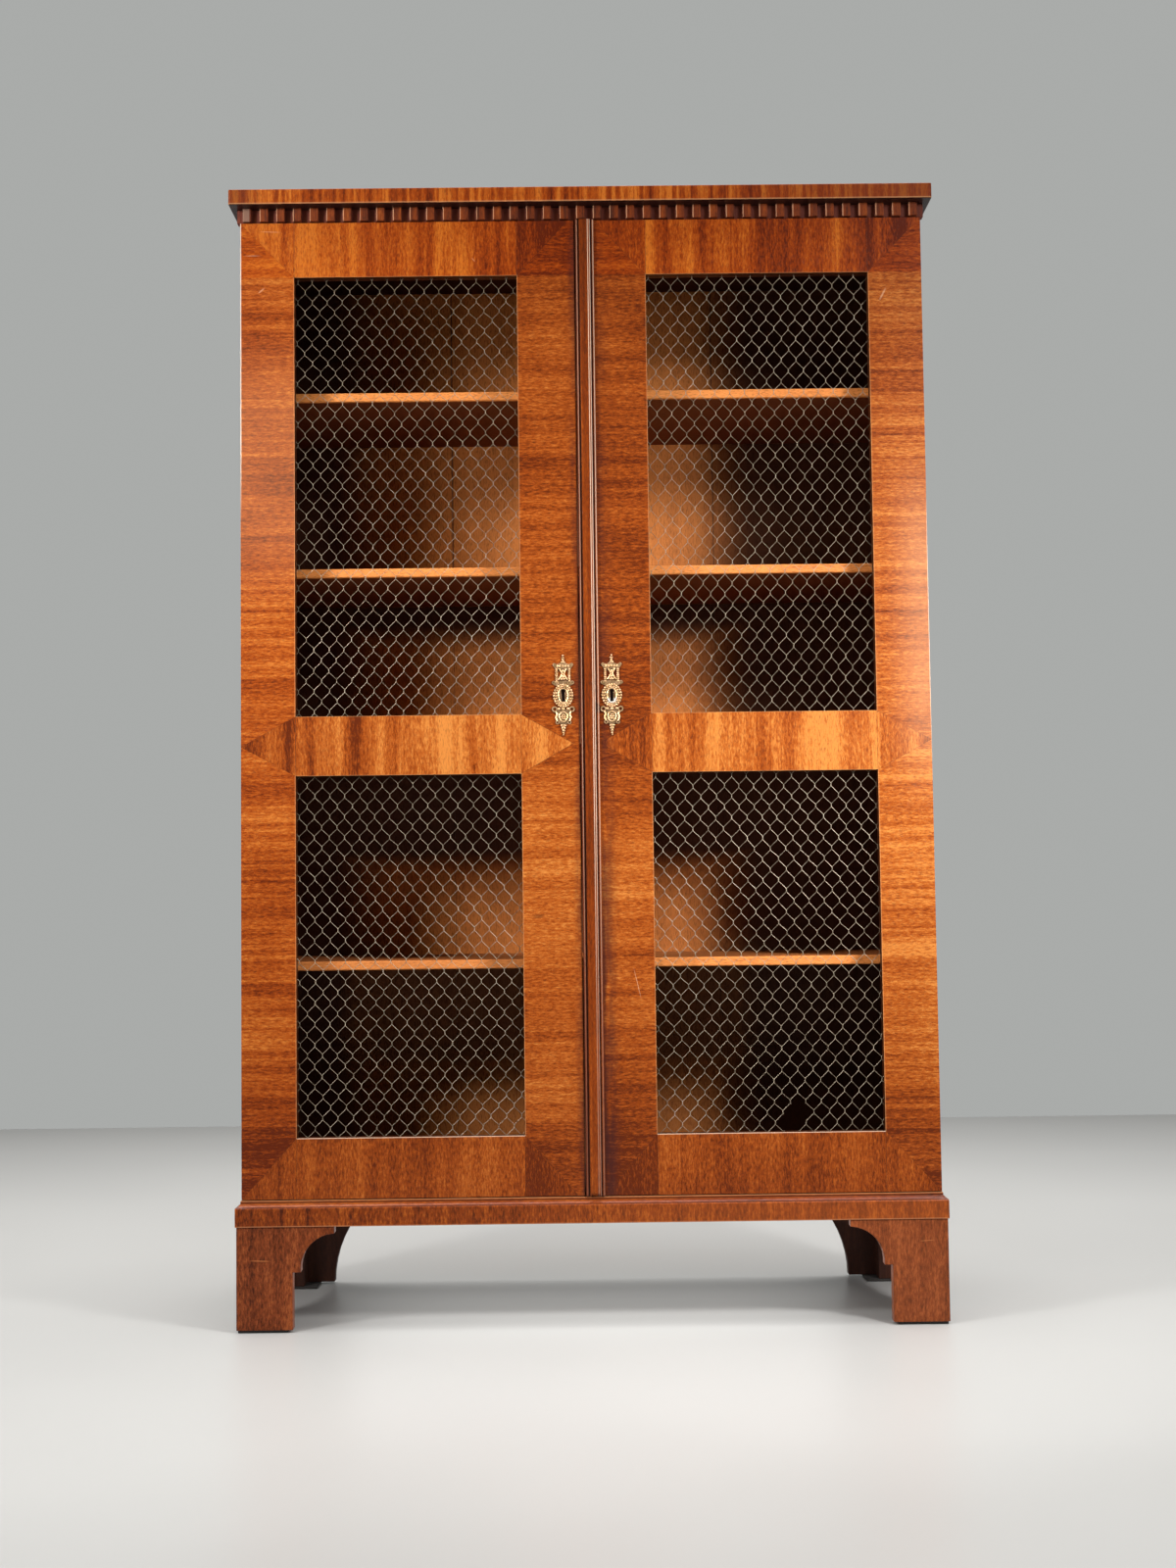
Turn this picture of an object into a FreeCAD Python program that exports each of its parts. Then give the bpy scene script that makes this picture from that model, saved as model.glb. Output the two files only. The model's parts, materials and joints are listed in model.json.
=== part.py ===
import FreeCAD, Part
import Sketcher
import math
import os
import re

# A free-standing mahogany display cabinet with two wire-netting doors, a dentil cornice and bracket
# feet. Millimetres: X runs to the right, Y to the back, Z up. The origin is on the floor, under the
# middle of the cabinet's box.

# Driving sizes, each written once
SIZES = {
    # carcass
    "carcass_width": 1130.0,
    "carcass_depth": 370.0,
    "side_thickness": 20.0,
    "top_thickness": 22.0,
    "bottom_thickness": 20.0,
    "back_thickness": 10.0,
    "back_rebate": 10.0,
    "board_seam": 241.0,
    # cornice and dentils
    "cornice_thickness": 25.5,
    "cornice_front_overhang": 19.0,
    "cornice_side_overhang": 10.0,
    "cornice_round": 2.0,
    "dentil_width": 14.4,
    "dentil_height": 22.0,
    "dentil_projection": 10.0,
    "dentil_proud": 5.0,
    "dentil_side_proud": 6.0,
    "dentil_end": 5.0,
    "dentil_count": 41,
    "side_dentil_count": 15,
    # base rails, their moulding and the bracket feet
    "base_rail_height": 30.5,
    "base_proud": 9.5,
    "base_rail_round": 2.0,
    "moulding_height": 10.5,
    "moulding_step": 1.5,
    "moulding_lip": 2.5,
    "moulding_lip_proud": 1.5,
    "foot_height": 163.5,
    "foot_inset": 2.0,
    "bracket_thickness": 22.0,
    "leg_width": 90.5,
    "wing_width": 157.5,
    "wing_end": 11.5,
    "wing_lip": 3.5,
    "bracket_ledge": 13.0,
    "bracket_ledge_height": 91.0,
    "rear_leg_width": 81.5,
    "rear_wing_width": 177.0,
    "block_side": 38.0,
    "pad_thickness": 4.0,
    "pad_inset": 2.5,
    "pad_width": 80.0,
    "pad_depth": 60.0,
    # doors
    "door_thickness": 24.0,
    "door_height": 1603.5,
    "door_gap": 3.0,
    "door_top_gap": 2.0,
    "door_bottom_gap": 1.5,
    "meeting_line": -10.5,
    "meeting_gap": 2.0,
    "hinge_stile_width": 89.2,
    "centre_to_opening": 107.0,
    "top_rail_height": 92.0,
    "middle_rail_height": 97.4,
    "middle_rail_lift": 683.3,
    "bottom_rail_height": 97.3,
    # netting and the beads that hold it
    "rebate_width": 9.0,
    "rebate_depth": 13.0,
    "net_thickness": 2.0,
    "net_clearance": 0.5,
    "net_selvedge": 4.0,
    "net_pitch": 50.0,
    "net_row": 32.6,
    "net_twist": 14.0,
    "net_wire": 2.4,
    # astragal on the right door
    "astragal_width": 31.0,
    "astragal_fillet": 4.0,
    "astragal_groove": 2.5,
    "astragal_backing": 3.5,
    "astragal_height": 7.5,
    "astragal_bead_end": 4.0,
    # pivots
    "pivot_edge": 6.5,
    "pivot_plate_length": 50.0,
    "pivot_plate_width": 10.0,
    "pivot_plate_thickness": 2.5,
    "pivot_plate_end": 5.0,
    "pivot_pin_radius": 2.5,
    "pivot_pin_clearance": 0.05,
    "pivot_pin_end_gap": 0.5,
    "pivot_washer_radius": 4.8,
    # shelves and their pegs
    "shelf_thickness": 15.0,
    "shelf_setback": 28.5,
    "shelf_clearance": 1.0,
    "shelf_1_height": 1318.0,
    "shelf_2_height": 1020.0,
    "shelf_3_height": 722.0,
    "shelf_4_height": 366.0,
    "peg_reach": 12.0,
    "peg_width": 14.0,
    "peg_thickness": 3.0,
    "peg_radius": 3.0,
    "peg_depth": 10.0,
    "peg_clearance": 0.05,
    "peg_inset": 60.0,
    # lock in the right door and its strike in the left door
    "lock_width": 72.0,
    "lock_thickness": 13.0,
    "lock_below": 26.0,
    "lock_above": 38.0,
    "lock_pin_radius": 2.0,
    "lock_bolt_length": 50.0,
    "lock_bolt_thickness": 6.0,
    "lock_bolt_height": 14.0,
    "lock_bolt_rise": 20.0,
    "lock_bolt_throw": 10.0,
    "lock_bolt_clearance": 0.3,
    "keyhole_radius": 3.6,
    "keyhole_slot": 18.0,
    "keyhole_slot_width": 5.0,
    "keyhole_depth": 9.0,
    # pierced escutcheons, one above each keyhole, tier by tier from the top
    "escutcheon_thickness": 2.5,
    "escutcheon_height": 1021.0,
    "escutcheon_left": -37.6,
    "escutcheon_right": 42.0,
    "finial_width": 7.0,
    "finial_height": 13.5,
    "abacus_width": 31.0,
    "abacus_height": 7.0,
    "shaft_width": 25.0,
    "shaft_height": 23.0,
    "shaft_slot_width": 3.2,
    "shaft_slot_height": 15.0,
    "shaft_slot_offset": 5.6,
    "cartouche_width": 34.5,
    "cartouche_height": 42.0,
    "key_rise": 7.0,
    "bow_width": 35.0,
    "bow_height": 10.0,
    "medallion_width": 26.0,
    "medallion_height": 21.0,
    "pendant_width": 7.0,
    "pendant_height": 18.0,
    # barrel bolts on the back of the left door
    "bolt_radius": 3.0,
    "bolt_length": 100.0,
    "bolt_rest": 1.5,
    "bolt_throw": 14.0,
    "bolt_offset": 10.0,
    "bolt_clearance": 0.1,
    "bolt_hole_clearance": 0.5,
    "bolt_plate_length": 110.0,
    "bolt_plate_width": 22.0,
    "bolt_plate_thickness": 2.0,
    "bolt_plate_margin": 6.0,
    "bolt_loop_width": 14.0,
    "bolt_loop_height": 10.0,
    "bolt_loop_wall": 2.5,
    "bolt_loop_margin": 14.0,
    "bolt_knob_radius": 3.5,
    "bolt_knob_length": 12.0,
    # wood screws of the bolts and the lock
    "screw_head_radius": 2.6,
    "screw_head_height": 1.4,
    "screw_radius": 1.4,
    "screw_length": 20.0,
    "screw_margin": 5.0,
    "screw_clearance": 0.2,
}

# Places worked out from the driving sizes
PLACES = {
    "overall_depth": "carcass_depth + door_gap + door_thickness + dentil_proud + cornice_front_overhang",
    "half_width": "carcass_width / 2",
    "inner_half": "half_width - side_thickness",
    "cornice_half": "half_width + dentil_side_proud + cornice_side_overhang",
    "back_y": "overall_depth / 2",
    "carcass_front_y": "back_y - carcass_depth",
    "door_back_y": "carcass_front_y - door_gap",
    "door_front_y": "door_back_y - door_thickness",
    "dentil_front_y": "door_front_y - dentil_proud",
    "frieze_front_y": "dentil_front_y + dentil_projection",
    "back_inside_y": "back_y - back_thickness",
    "foot_top_z": "pad_thickness + foot_height",
    "base_rail_top_z": "foot_top_z + base_rail_height",
    "floor_z": "base_rail_top_z + moulding_height",
    "floor_under_z": "floor_z - bottom_thickness",
    "door_bottom_z": "floor_z + door_bottom_gap",
    "door_top_z": "door_bottom_z + door_height",
    "frieze_bottom_z": "door_top_z + door_top_gap",
    "cornice_bottom_z": "frieze_bottom_z + dentil_height",
    "ceiling_z": "cornice_bottom_z - top_thickness",
    "base_half": "half_width + base_proud",
    "base_front_y": "door_front_y - base_proud",
    "foot_half": "base_half - foot_inset",
    "foot_front_y": "base_front_y + foot_inset",
    "foot_inner_half": "foot_half - bracket_thickness",
    "foot_inner_y": "foot_front_y + bracket_thickness",
    "bracket_run": "wing_width - wing_lip - leg_width - bracket_ledge",
    "bracket_rise": "foot_height - wing_end - bracket_ledge_height",
    "bracket_radius": "sqrt((bracket_run ^ 2 + bracket_rise ^ 2) / 2)",
    "rear_run": "rear_wing_width - rear_leg_width",
    "rear_radius": "(rear_run ^ 2 + foot_height ^ 2) / (2 * rear_run)",
    "rear_bracket_y": "back_y - bracket_thickness",
    "moulding_proud": "base_proud - moulding_step",
    "moulding_flare": "moulding_proud - moulding_lip_proud",
    "moulding_fall": "moulding_height - moulding_lip",
    "moulding_radius": "sqrt(moulding_flare ^ 2 + moulding_fall ^ 2)",
    "left_edge": "meeting_line - meeting_gap / 2",
    "right_edge": "meeting_line + meeting_gap / 2",
    "opening_outer": "half_width - hinge_stile_width",
    "lower_opening_z": "door_bottom_z + bottom_rail_height",
    "middle_rail_z": "door_bottom_z + middle_rail_lift",
    "upper_opening_z": "middle_rail_z + middle_rail_height",
    "upper_opening_top_z": "door_top_z - top_rail_height",
    "net_front_y": "door_back_y - rebate_depth",
    "net_back_y": "net_front_y + net_thickness",
    "pivot_x": "half_width - pivot_edge",
    "pivot_y": "door_back_y - door_thickness / 2",
    "pivot_bore": "pivot_pin_radius + pivot_pin_clearance",
    "shelf_front_y": "carcass_front_y + shelf_setback",
    "key_z": "escutcheon_height + key_rise",
    "lock_front_y": "door_back_y - lock_thickness",
    "lock_bolt_y": "door_back_y - lock_thickness / 2",
    "lock_bolt_z": "key_z + lock_bolt_rise",
    "bolt_x": "(left_edge - centre_to_opening + rebate_width) / 2",
    "bolt_y": "door_back_y + bolt_offset",
    "screw_hole_radius": "screw_radius + screw_clearance",
    "dentil_row_half": "half_width - dentil_end",
    "dentil_pitch": "(2 * dentil_row_half - dentil_width) / (dentil_count - 1)",
    "side_dentil_pitch": "(back_y - frieze_front_y - dentil_width) / (side_dentil_count - 1)",
}

doc = FreeCAD.newDocument("display_cabinet")
sheet = doc.addObject("Spreadsheet::Sheet", "Sizes")
for row, (name, content) in enumerate({**SIZES, **PLACES}.items(), start=1):
    sheet.set(f"A{row}", name)
    sheet.set(f"B{row}", f"={content}" if name in PLACES else str(content))
    sheet.setAlias(f"B{row}", name)
doc.recompute()

nodes = {}


def formula(text):
    """Point every size named in an expression at the sheet."""
    known = {**SIZES, **PLACES}
    return re.sub(r"[a-z]\w*", lambda word: f"Sizes.{word[0]}" if word[0] in known else word[0], text)


def value(text):
    """The number that an expression on the sheet's sizes has now."""
    return float(sheet.evalExpression(formula(text)))


def bind(item, **expressions):
    """Tie an object's properties to the sheet; x, y and z are its place."""
    for key, text in expressions.items():
        path = f"Placement.Base.{key}" if key in ("x", "y", "z") else key
        item.setExpression(path, formula(text))
    return item


def block(name, xs, ys, zs):
    """A rectangular piece between two expressions on each axis."""
    item = doc.addObject("Part::Box", name)
    (x, far_x), (y, far_y), (z, far_z) = xs, ys, zs
    return bind(item, x=x, y=y, z=z, Length=f"({far_x}) - ({x})", Width=f"({far_y}) - ({y})",
                Height=f"({far_z}) - ({z})")


def rod(name, axis, x, y, z, radius, length):
    """A round piece that starts at a point and runs along an axis."""
    item = doc.addObject("Part::Cylinder", name)
    along = {"x": FreeCAD.Vector(1, 0, 0), "y": FreeCAD.Vector(0, 1, 0), "z": FreeCAD.Vector(0, 0, 1)}
    item.Placement.Rotation = FreeCAD.Rotation(along["z"], along[axis])
    return bind(item, x=x, y=y, z=z, Radius=radius, Height=length)


def group(name, members):
    """Separate solids that share one object."""
    item = doc.addObject("Part::Compound", name)
    item.Links = members
    return item


def cut(name, base, tools):
    """A piece with recesses, rebates or holes taken out of it."""
    item = doc.addObject("Part::Cut", name)
    item.Base = base
    item.Tool = tools[0] if len(tools) == 1 else group(f"{name}_cuts", tools)
    return item


def fuse(name, members):
    """One solid made of several plain shapes."""
    item = doc.addObject("Part::MultiFuse", name)
    item.Shapes = members
    return item


def add_arc(sketch, start, end, radius, turn):
    """Draw an arc of under a half circle; turn is 1 with its centre on the left, -1 on the right."""
    chord = end - start
    rise = math.sqrt(max(radius ** 2 - (chord.Length / 2) ** 2, 0))
    left = FreeCAD.Vector(-chord.y, chord.x, 0).normalize()
    centre = (start + end) * 0.5 + left * (rise * turn)
    first, last = (start, end) if turn > 0 else (end, start)
    angles = [math.atan2(point.y - centre.y, point.x - centre.x) for point in (first, last)]
    circle = Part.Circle(centre, FreeCAD.Vector(0, 0, 1), radius)
    sketch.addGeometry(Part.ArcOfCircle(circle, *angles), False)
    return (1, 2) if turn > 0 else (2, 1)


def outline(body, name, role, corners):
    """Draw a closed outline on one of the body's planes; a corner with a radius and turn starts an arc."""
    sketch = body.newObject("Sketcher::SketchObject", name)
    plane = [item for item in body.Origin.OriginFeatures if item.Role == role][0]
    sketch.AttachmentSupport = [(plane, "")]
    sketch.MapMode = "FlatFace"
    points = [FreeCAD.Vector(value(corner[0]), value(corner[1]), 0) for corner in corners]
    ends = []
    for index, corner in enumerate(corners):
        start = points[index]
        end = points[(index + 1) % len(points)]
        if len(corner) == 2:
            sketch.addGeometry(Part.LineSegment(start, end), False)
            ends.append((1, 2))
        else:
            ends.append(add_arc(sketch, start, end, value(corner[2]), corner[3]))
    for index, corner in enumerate(corners):
        after = (index + 1) % len(corners)
        sketch.addConstraint(Sketcher.Constraint("Coincident", index, ends[index][1], after, ends[after][0]))
        settings = [("DistanceX", corner[0], points[index].x), ("DistanceY", corner[1], points[index].y)]
        for kind, text, number in settings:
            place = sketch.addConstraint(Sketcher.Constraint(kind, -1, 1, index, ends[index][0], number))
            sketch.setExpression(f"Constraints[{place}]", formula(text))
        if len(corner) == 4:
            place = sketch.addConstraint(Sketcher.Constraint("Radius", index, value(corner[2])))
            sketch.setExpression(f"Constraints[{place}]", formula(corner[2]))
    return sketch


def prism(name, role, corners, thickness, **place):
    """A body whose outline is padded along its plane's normal: +Z, -Y or +X."""
    body = doc.addObject("PartDesign::Body", name)
    pad = body.newObject("PartDesign::Pad", f"{name}_pad")
    pad.Profile = outline(body, f"{name}_outline", role, corners)
    bind(pad, Length=thickness)
    body.Tip = pad
    return bind(body, **place)


def rounded(body, name, radius, chosen):
    """Round the edges of a body's last feature that a test picks out."""
    doc.recompute()
    base = body.Tip
    edges = enumerate(base.Shape.Edges, start=1)
    picked = [f"Edge{index}" for index, edge in edges if chosen(edge.BoundBox)]
    fillet = body.newObject("PartDesign::Fillet", name)
    fillet.Base = (base, picked)
    bind(fillet, Radius=radius)
    body.Tip = fillet
    return body


def keep(*pieces):
    """List finished pieces under their labels."""
    for piece in pieces:
        nodes[piece.Label] = piece


def span(side, inner, outer):
    """The X range between two distances from the middle, on the left or the right."""
    return (inner, outer) if side == "right" else (f"-({outer})", f"-({inner})")


def about(middle, width):
    """The range of a width laid evenly about a middle."""
    return f"({middle}) - ({width}) / 2", f"({middle}) + ({width}) / 2"


def sided(side, distance):
    """A distance from the middle, signed for its side."""
    return distance if side == "right" else f"-({distance})"


SIDES = ("left", "right")
SHELVES = ("shelf_1", "shelf_2", "shelf_3", "shelf_4")
PEG_ROWS = {"front": "shelf_front_y + peg_inset", "rear": "back_inside_y - peg_inset"}


def shelf_z(shelf):
    """The height of a shelf's underside above the floor of the room."""
    return f"floor_z + {shelf}_height"


def carcass():
    """Sides with a rebate for the back, the top and bottom boards, and the back's upright boards."""
    hole_start = {"left": "-inner_half - peg_depth", "right": "inner_half"}
    for side in SIDES:
        blank = block(f"{side}_side_blank", span(side, "inner_half", "half_width"),
                      ("carcass_front_y", "back_y"), ("foot_top_z", "cornice_bottom_z"))
        rebate = block(f"{side}_side_rebate", span(side, "inner_half", "inner_half + back_rebate"),
                       ("back_inside_y", "back_y"), ("floor_under_z", "cornice_bottom_z"))
        holes = [rod(f"{side}_{shelf}_{end}_hole", "x", hole_start[side], y,
                     f"{shelf_z(shelf)} - peg_radius", "peg_radius + peg_clearance", "peg_depth")
                 for shelf in SHELVES for end, y in PEG_ROWS.items()]
        keep(cut(f"{side}_side", blank, [rebate] + holes))

    inside = ("-inner_half", "inner_half")
    depth = ("carcass_front_y", "back_inside_y")
    upper_hole = "bolt_throw - bolt_rest + bolt_hole_clearance - door_top_gap"
    lower_hole = "bolt_throw - bolt_rest + bolt_hole_clearance - door_bottom_gap"
    boards = {"carcass_top": ("ceiling_z", "cornice_bottom_z", "ceiling_z", upper_hole),
              "carcass_bottom": ("floor_under_z", "floor_z", f"floor_z - ({lower_hole})", lower_hole)}
    for name, (low, high, hole_z, hole_depth) in boards.items():
        hole = rod(f"{name}_bolt_hole", "z", "bolt_x", "bolt_y", hole_z,
                   "bolt_radius + bolt_hole_clearance", hole_depth)
        keep(cut(name, block(f"{name}_blank", inside, depth, (low, high)), [hole]))

    edges = ["-inner_half - back_rebate", "-board_seam", "0", "board_seam", "inner_half + back_rebate"]
    behind = ("back_inside_y", "back_y")
    upright = ("floor_under_z", "cornice_bottom_z")
    keep(group("back_boards", [block(f"back_board_{index}", pair, behind, upright)
                               for index, pair in enumerate(zip(edges, edges[1:]), start=1)]))


def cornice():
    """The overhanging board, the frieze rail below it and the dentils along its front and sides."""
    corners = [("-cornice_half", "-back_y"), ("cornice_half", "-back_y"),
               ("cornice_half", "back_y"), ("-cornice_half", "back_y")]
    board = prism("cornice_board", "XY_Plane", corners, "cornice_thickness", z="cornice_bottom_z")
    level = value("cornice_thickness - cornice_round")
    keep(rounded(board, "cornice_round_edge", "cornice_round", lambda box: box.ZMin > level))

    blank = block("frieze_blank", ("-half_width", "half_width"), ("frieze_front_y", "carcass_front_y"),
                  ("frieze_bottom_z", "cornice_bottom_z"))
    keep(cut("frieze_rail", blank, [pivot_recess(side, "frieze", "frieze_bottom_z") for side in SIDES]))

    height = ("frieze_bottom_z", "cornice_bottom_z")
    front = []
    for index in range(int(SIZES["dentil_count"])):
        start = f"-dentil_row_half + {index} * dentil_pitch"
        front.append(block(f"front_dentil_{index + 1}", (start, f"{start} + dentil_width"),
                           ("dentil_front_y", "frieze_front_y"), height))
    keep(group("front_dentils", front))
    flanks = []
    for side in SIDES:
        proud = span(side, "half_width", "half_width + dentil_side_proud")
        for index in range(int(SIZES["side_dentil_count"])):
            start = f"frieze_front_y + {index} * side_dentil_pitch"
            along = (start, f"{start} + dentil_width")
            flanks.append(block(f"{side}_dentil_{index + 1}", proud, along, height))
    keep(group("side_dentils", flanks))


def base():
    """Rails round the foot of the carcass and the hollow moulding on top of them."""
    front = prism("base_rail_front", "YZ_Plane",
                  [("base_front_y", "foot_top_z"), ("carcass_front_y", "foot_top_z"),
                   ("carcass_front_y", "base_rail_top_z"), ("base_front_y", "base_rail_top_z")],
                  "2 * base_half", x="-base_half")
    level_y = value("base_front_y + base_rail_round")
    level_z = value("base_rail_top_z - base_rail_round")
    keep(rounded(front, "base_rail_front_round", "base_rail_round",
                 lambda box: box.YMax < level_y and box.ZMin > level_z))
    for side in SIDES:
        keep(block(f"base_rail_{side}", span(side, "half_width", "base_half"),
                   ("carcass_front_y", "back_y"), ("foot_top_z", "base_rail_top_z")))

    lip_z = "floor_z - moulding_lip"
    profile = [("carcass_front_y", "base_rail_top_z"), ("carcass_front_y", "floor_z"),
               ("door_front_y - moulding_lip_proud", "floor_z"),
               ("door_front_y - moulding_lip_proud", lip_z, "moulding_radius", -1),
               ("door_front_y - moulding_proud", "base_rail_top_z")]
    blank = prism("base_moulding_front_blank", "YZ_Plane", profile, "2 * (half_width + moulding_proud)",
                  x="-half_width - moulding_proud")
    cuts = [pivot_recess(side, "base", "floor_z - pivot_plate_thickness") for side in SIDES]
    keep(cut("base_moulding_front", blank, [mitre(side, "front") for side in SIDES] + cuts))

    for side in SIDES:
        out = 1 if side == "right" else -1
        profile = [(f"{out} * half_width", "base_rail_top_z"),
                   (f"{out} * (half_width + moulding_proud)", "base_rail_top_z", "moulding_radius", out),
                   (f"{out} * (half_width + moulding_lip_proud)", lip_z),
                   (f"{out} * (half_width + moulding_lip_proud)", "floor_z"),
                   (f"{out} * half_width", "floor_z")]
        blank = prism(f"base_moulding_{side}_blank", "XZ_Plane", profile,
                      "back_y - door_front_y + moulding_proud", y="back_y")
        keep(cut(f"base_moulding_{side}", blank, [mitre(side, "side")]))


def mitre(side, piece):
    """The waste beyond a mitred corner of the base moulding, seen in plan."""
    out = 1 if side == "right" else -1
    inner = (f"{out} * half_width", "door_front_y")
    outer = (f"{out} * (half_width + moulding_proud)", "door_front_y - moulding_proud")
    if piece == "front":
        corners = [inner, outer, (outer[0], "carcass_front_y"), (inner[0], "carcass_front_y")]
    else:
        corners = [inner, outer, (inner[0], outer[1])]
    return prism(f"mitre_{side}_{piece}", "XY_Plane", corners, "moulding_height", z="base_rail_top_z")


def bracket(start):
    """A bracket foot's outline: leg, ledge, hollow curve and wing, from its outer edge inwards."""
    ledge = "leg_width + bracket_ledge"
    lip = "wing_width - wing_lip"
    return [(start, "0"), ("leg_width", "0"), ("leg_width", "bracket_ledge_height"),
            (ledge, "bracket_ledge_height", "bracket_radius", -1), (lip, "foot_height - wing_end"),
            ("wing_width", "foot_height - wing_end"), ("wing_width", "foot_height"), (start, "foot_height")]


def turned(corners, origin, direction):
    """Lay an outline out from an origin along an axis, one way or the other."""
    laid = []
    for corner in corners:
        place = (f"({origin}) + ({direction}) * ({corner[0]})", corner[1])
        bend = (corner[2], corner[3] * direction) if len(corner) == 4 else ()
        laid.append(place + bend)
    return laid


def feet():
    """Two bracket pieces at each corner, a glue block behind them and a pad under them."""
    blocks = []
    pads = []
    for side in SIDES:
        inward = -1 if side == "right" else 1
        keep(prism(f"foot_front_{side}", "XZ_Plane", turned(bracket("0"), sided(side, "foot_half"), inward),
                   "bracket_thickness", y="foot_inner_y", z="pad_thickness"))
        inner_x = "foot_inner_half" if side == "right" else "-foot_half"
        flanks = {"front": turned(bracket("bracket_thickness"), "foot_front_y", 1),
                  "rear": turned(bracket("0"), "back_y", -1)}
        for end, corners in flanks.items():
            keep(prism(f"foot_side_{end}_{side}", "YZ_Plane", corners, "bracket_thickness", x=inner_x,
                       z="pad_thickness"))
        rear_top = "floor_under_z - pad_thickness"
        rear = [("0", "0"), ("rear_leg_width", "0", "rear_radius", -1), ("rear_wing_width", "foot_height"),
                ("rear_wing_width", rear_top), ("0", rear_top)]
        keep(prism(f"foot_rear_{side}", "XZ_Plane", turned(rear, sided(side, "inner_half"), inward),
                   "bracket_thickness", y="back_y", z="pad_thickness"))
        block_x = span(side, "foot_inner_half - block_side", "foot_inner_half")
        pad_x = span(side, "foot_half - pad_inset - pad_width", "foot_half - pad_inset")
        ends = {"front": ("foot_inner_y", "foot_inner_y + block_side"),
                "rear": ("rear_bracket_y - block_side", "rear_bracket_y")}
        pad_ends = {"front": ("foot_front_y + pad_inset", "foot_front_y + pad_inset + pad_depth"),
                    "rear": ("back_y - pad_inset - pad_depth", "back_y - pad_inset")}
        for end, ys in ends.items():
            blocks.append(block(f"{end}_{side}_block", block_x, ys, ("pad_thickness", "foot_top_z")))
            pads.append(block(f"{end}_{side}_pad", pad_x, pad_ends[end], ("0", "pad_thickness")))
    keep(group("foot_blocks", blocks), group("foot_pads", pads))


def shelves():
    """Loose shelves, each lying on four flat-topped pegs in the sides."""
    pegs = []
    for shelf in SHELVES:
        top = f"{shelf_z(shelf)} + shelf_thickness"
        keep(block(shelf, ("-inner_half + shelf_clearance", "inner_half - shelf_clearance"),
                   ("shelf_front_y", "back_inside_y - shelf_clearance"), (shelf_z(shelf), top)))
        for side in SIDES:
            for end, y in PEG_ROWS.items():
                name = f"{shelf}_{end}_{side}"
                tongue = block(f"{name}_tongue", span(side, "inner_half - peg_reach", "inner_half"),
                               about(y, "peg_width"), (f"{shelf_z(shelf)} - peg_thickness", shelf_z(shelf)))
                start = "inner_half - peg_reach / 2" if side == "right" else "-inner_half - peg_depth"
                pin = rod(f"{name}_pin", "x", start, y, f"{shelf_z(shelf)} - peg_radius", "peg_radius",
                          "peg_depth + peg_reach / 2")
                pegs.append(fuse(f"{name}_peg", [tongue, pin]))
    keep(group("shelf_pegs", pegs))


def pivot_recess(side, owner, low):
    """The housing of one pivot plate, also the shape of the plate itself."""
    xs = span(side, "pivot_x + pivot_plate_end - pivot_plate_length", "pivot_x + pivot_plate_end")
    return block(f"{side}_{owner}_plate", xs, about("pivot_y", "pivot_plate_width"),
                 (low, f"{low} + pivot_plate_thickness"))


def pivots():
    """Drilled plates in the frieze and base, thrust washers below, and the doors' plates with pins."""
    sockets = []
    socket_z = {"top_socket": "frieze_bottom_z", "bottom_socket": "floor_z - pivot_plate_thickness"}
    reach = "pivot_plate_thickness - pivot_pin_end_gap"
    pin_z = {"top": "door_top_z - pivot_plate_thickness",
             "bottom": f"door_bottom_z - door_bottom_gap - ({reach})"}
    plate_z = {"top": "door_top_z - pivot_plate_thickness", "bottom": "door_bottom_z"}
    for side in SIDES:
        centre = (sided(side, "pivot_x"), "pivot_y")
        for owner, low in socket_z.items():
            bore = rod(f"{side}_{owner}_bore", "z", *centre, low, "pivot_bore", "pivot_plate_thickness")
            sockets.append(cut(f"{side}_{owner}", pivot_recess(side, owner, low), [bore]))
        disc = rod(f"{side}_washer_disc", "z", *centre, "floor_z", "pivot_washer_radius", "door_bottom_gap")
        bore = rod(f"{side}_washer_bore", "z", *centre, "floor_z", "pivot_bore", "door_bottom_gap")
        sockets.append(cut(f"{side}_washer", disc, [bore]))

        pivots_of_door = []
        for end in ("top", "bottom"):
            plate = pivot_recess(side, f"door_{end}", plate_z[end])
            pin = rod(f"{side}_{end}_pin", "z", *centre, pin_z[end], "pivot_pin_radius",
                      f"pivot_plate_thickness + door_{end}_gap + {reach}")
            pivots_of_door.append(fuse(f"{side}_{end}_pivot", [plate, pin]))
        keep(group(f"{side}_door_pivots", pivots_of_door))
    keep(group("pivot_sockets", sockets))


OPENINGS = {"lower": ("lower_opening_z", "middle_rail_z"),
            "upper": ("upper_opening_z", "upper_opening_top_z")}


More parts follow.
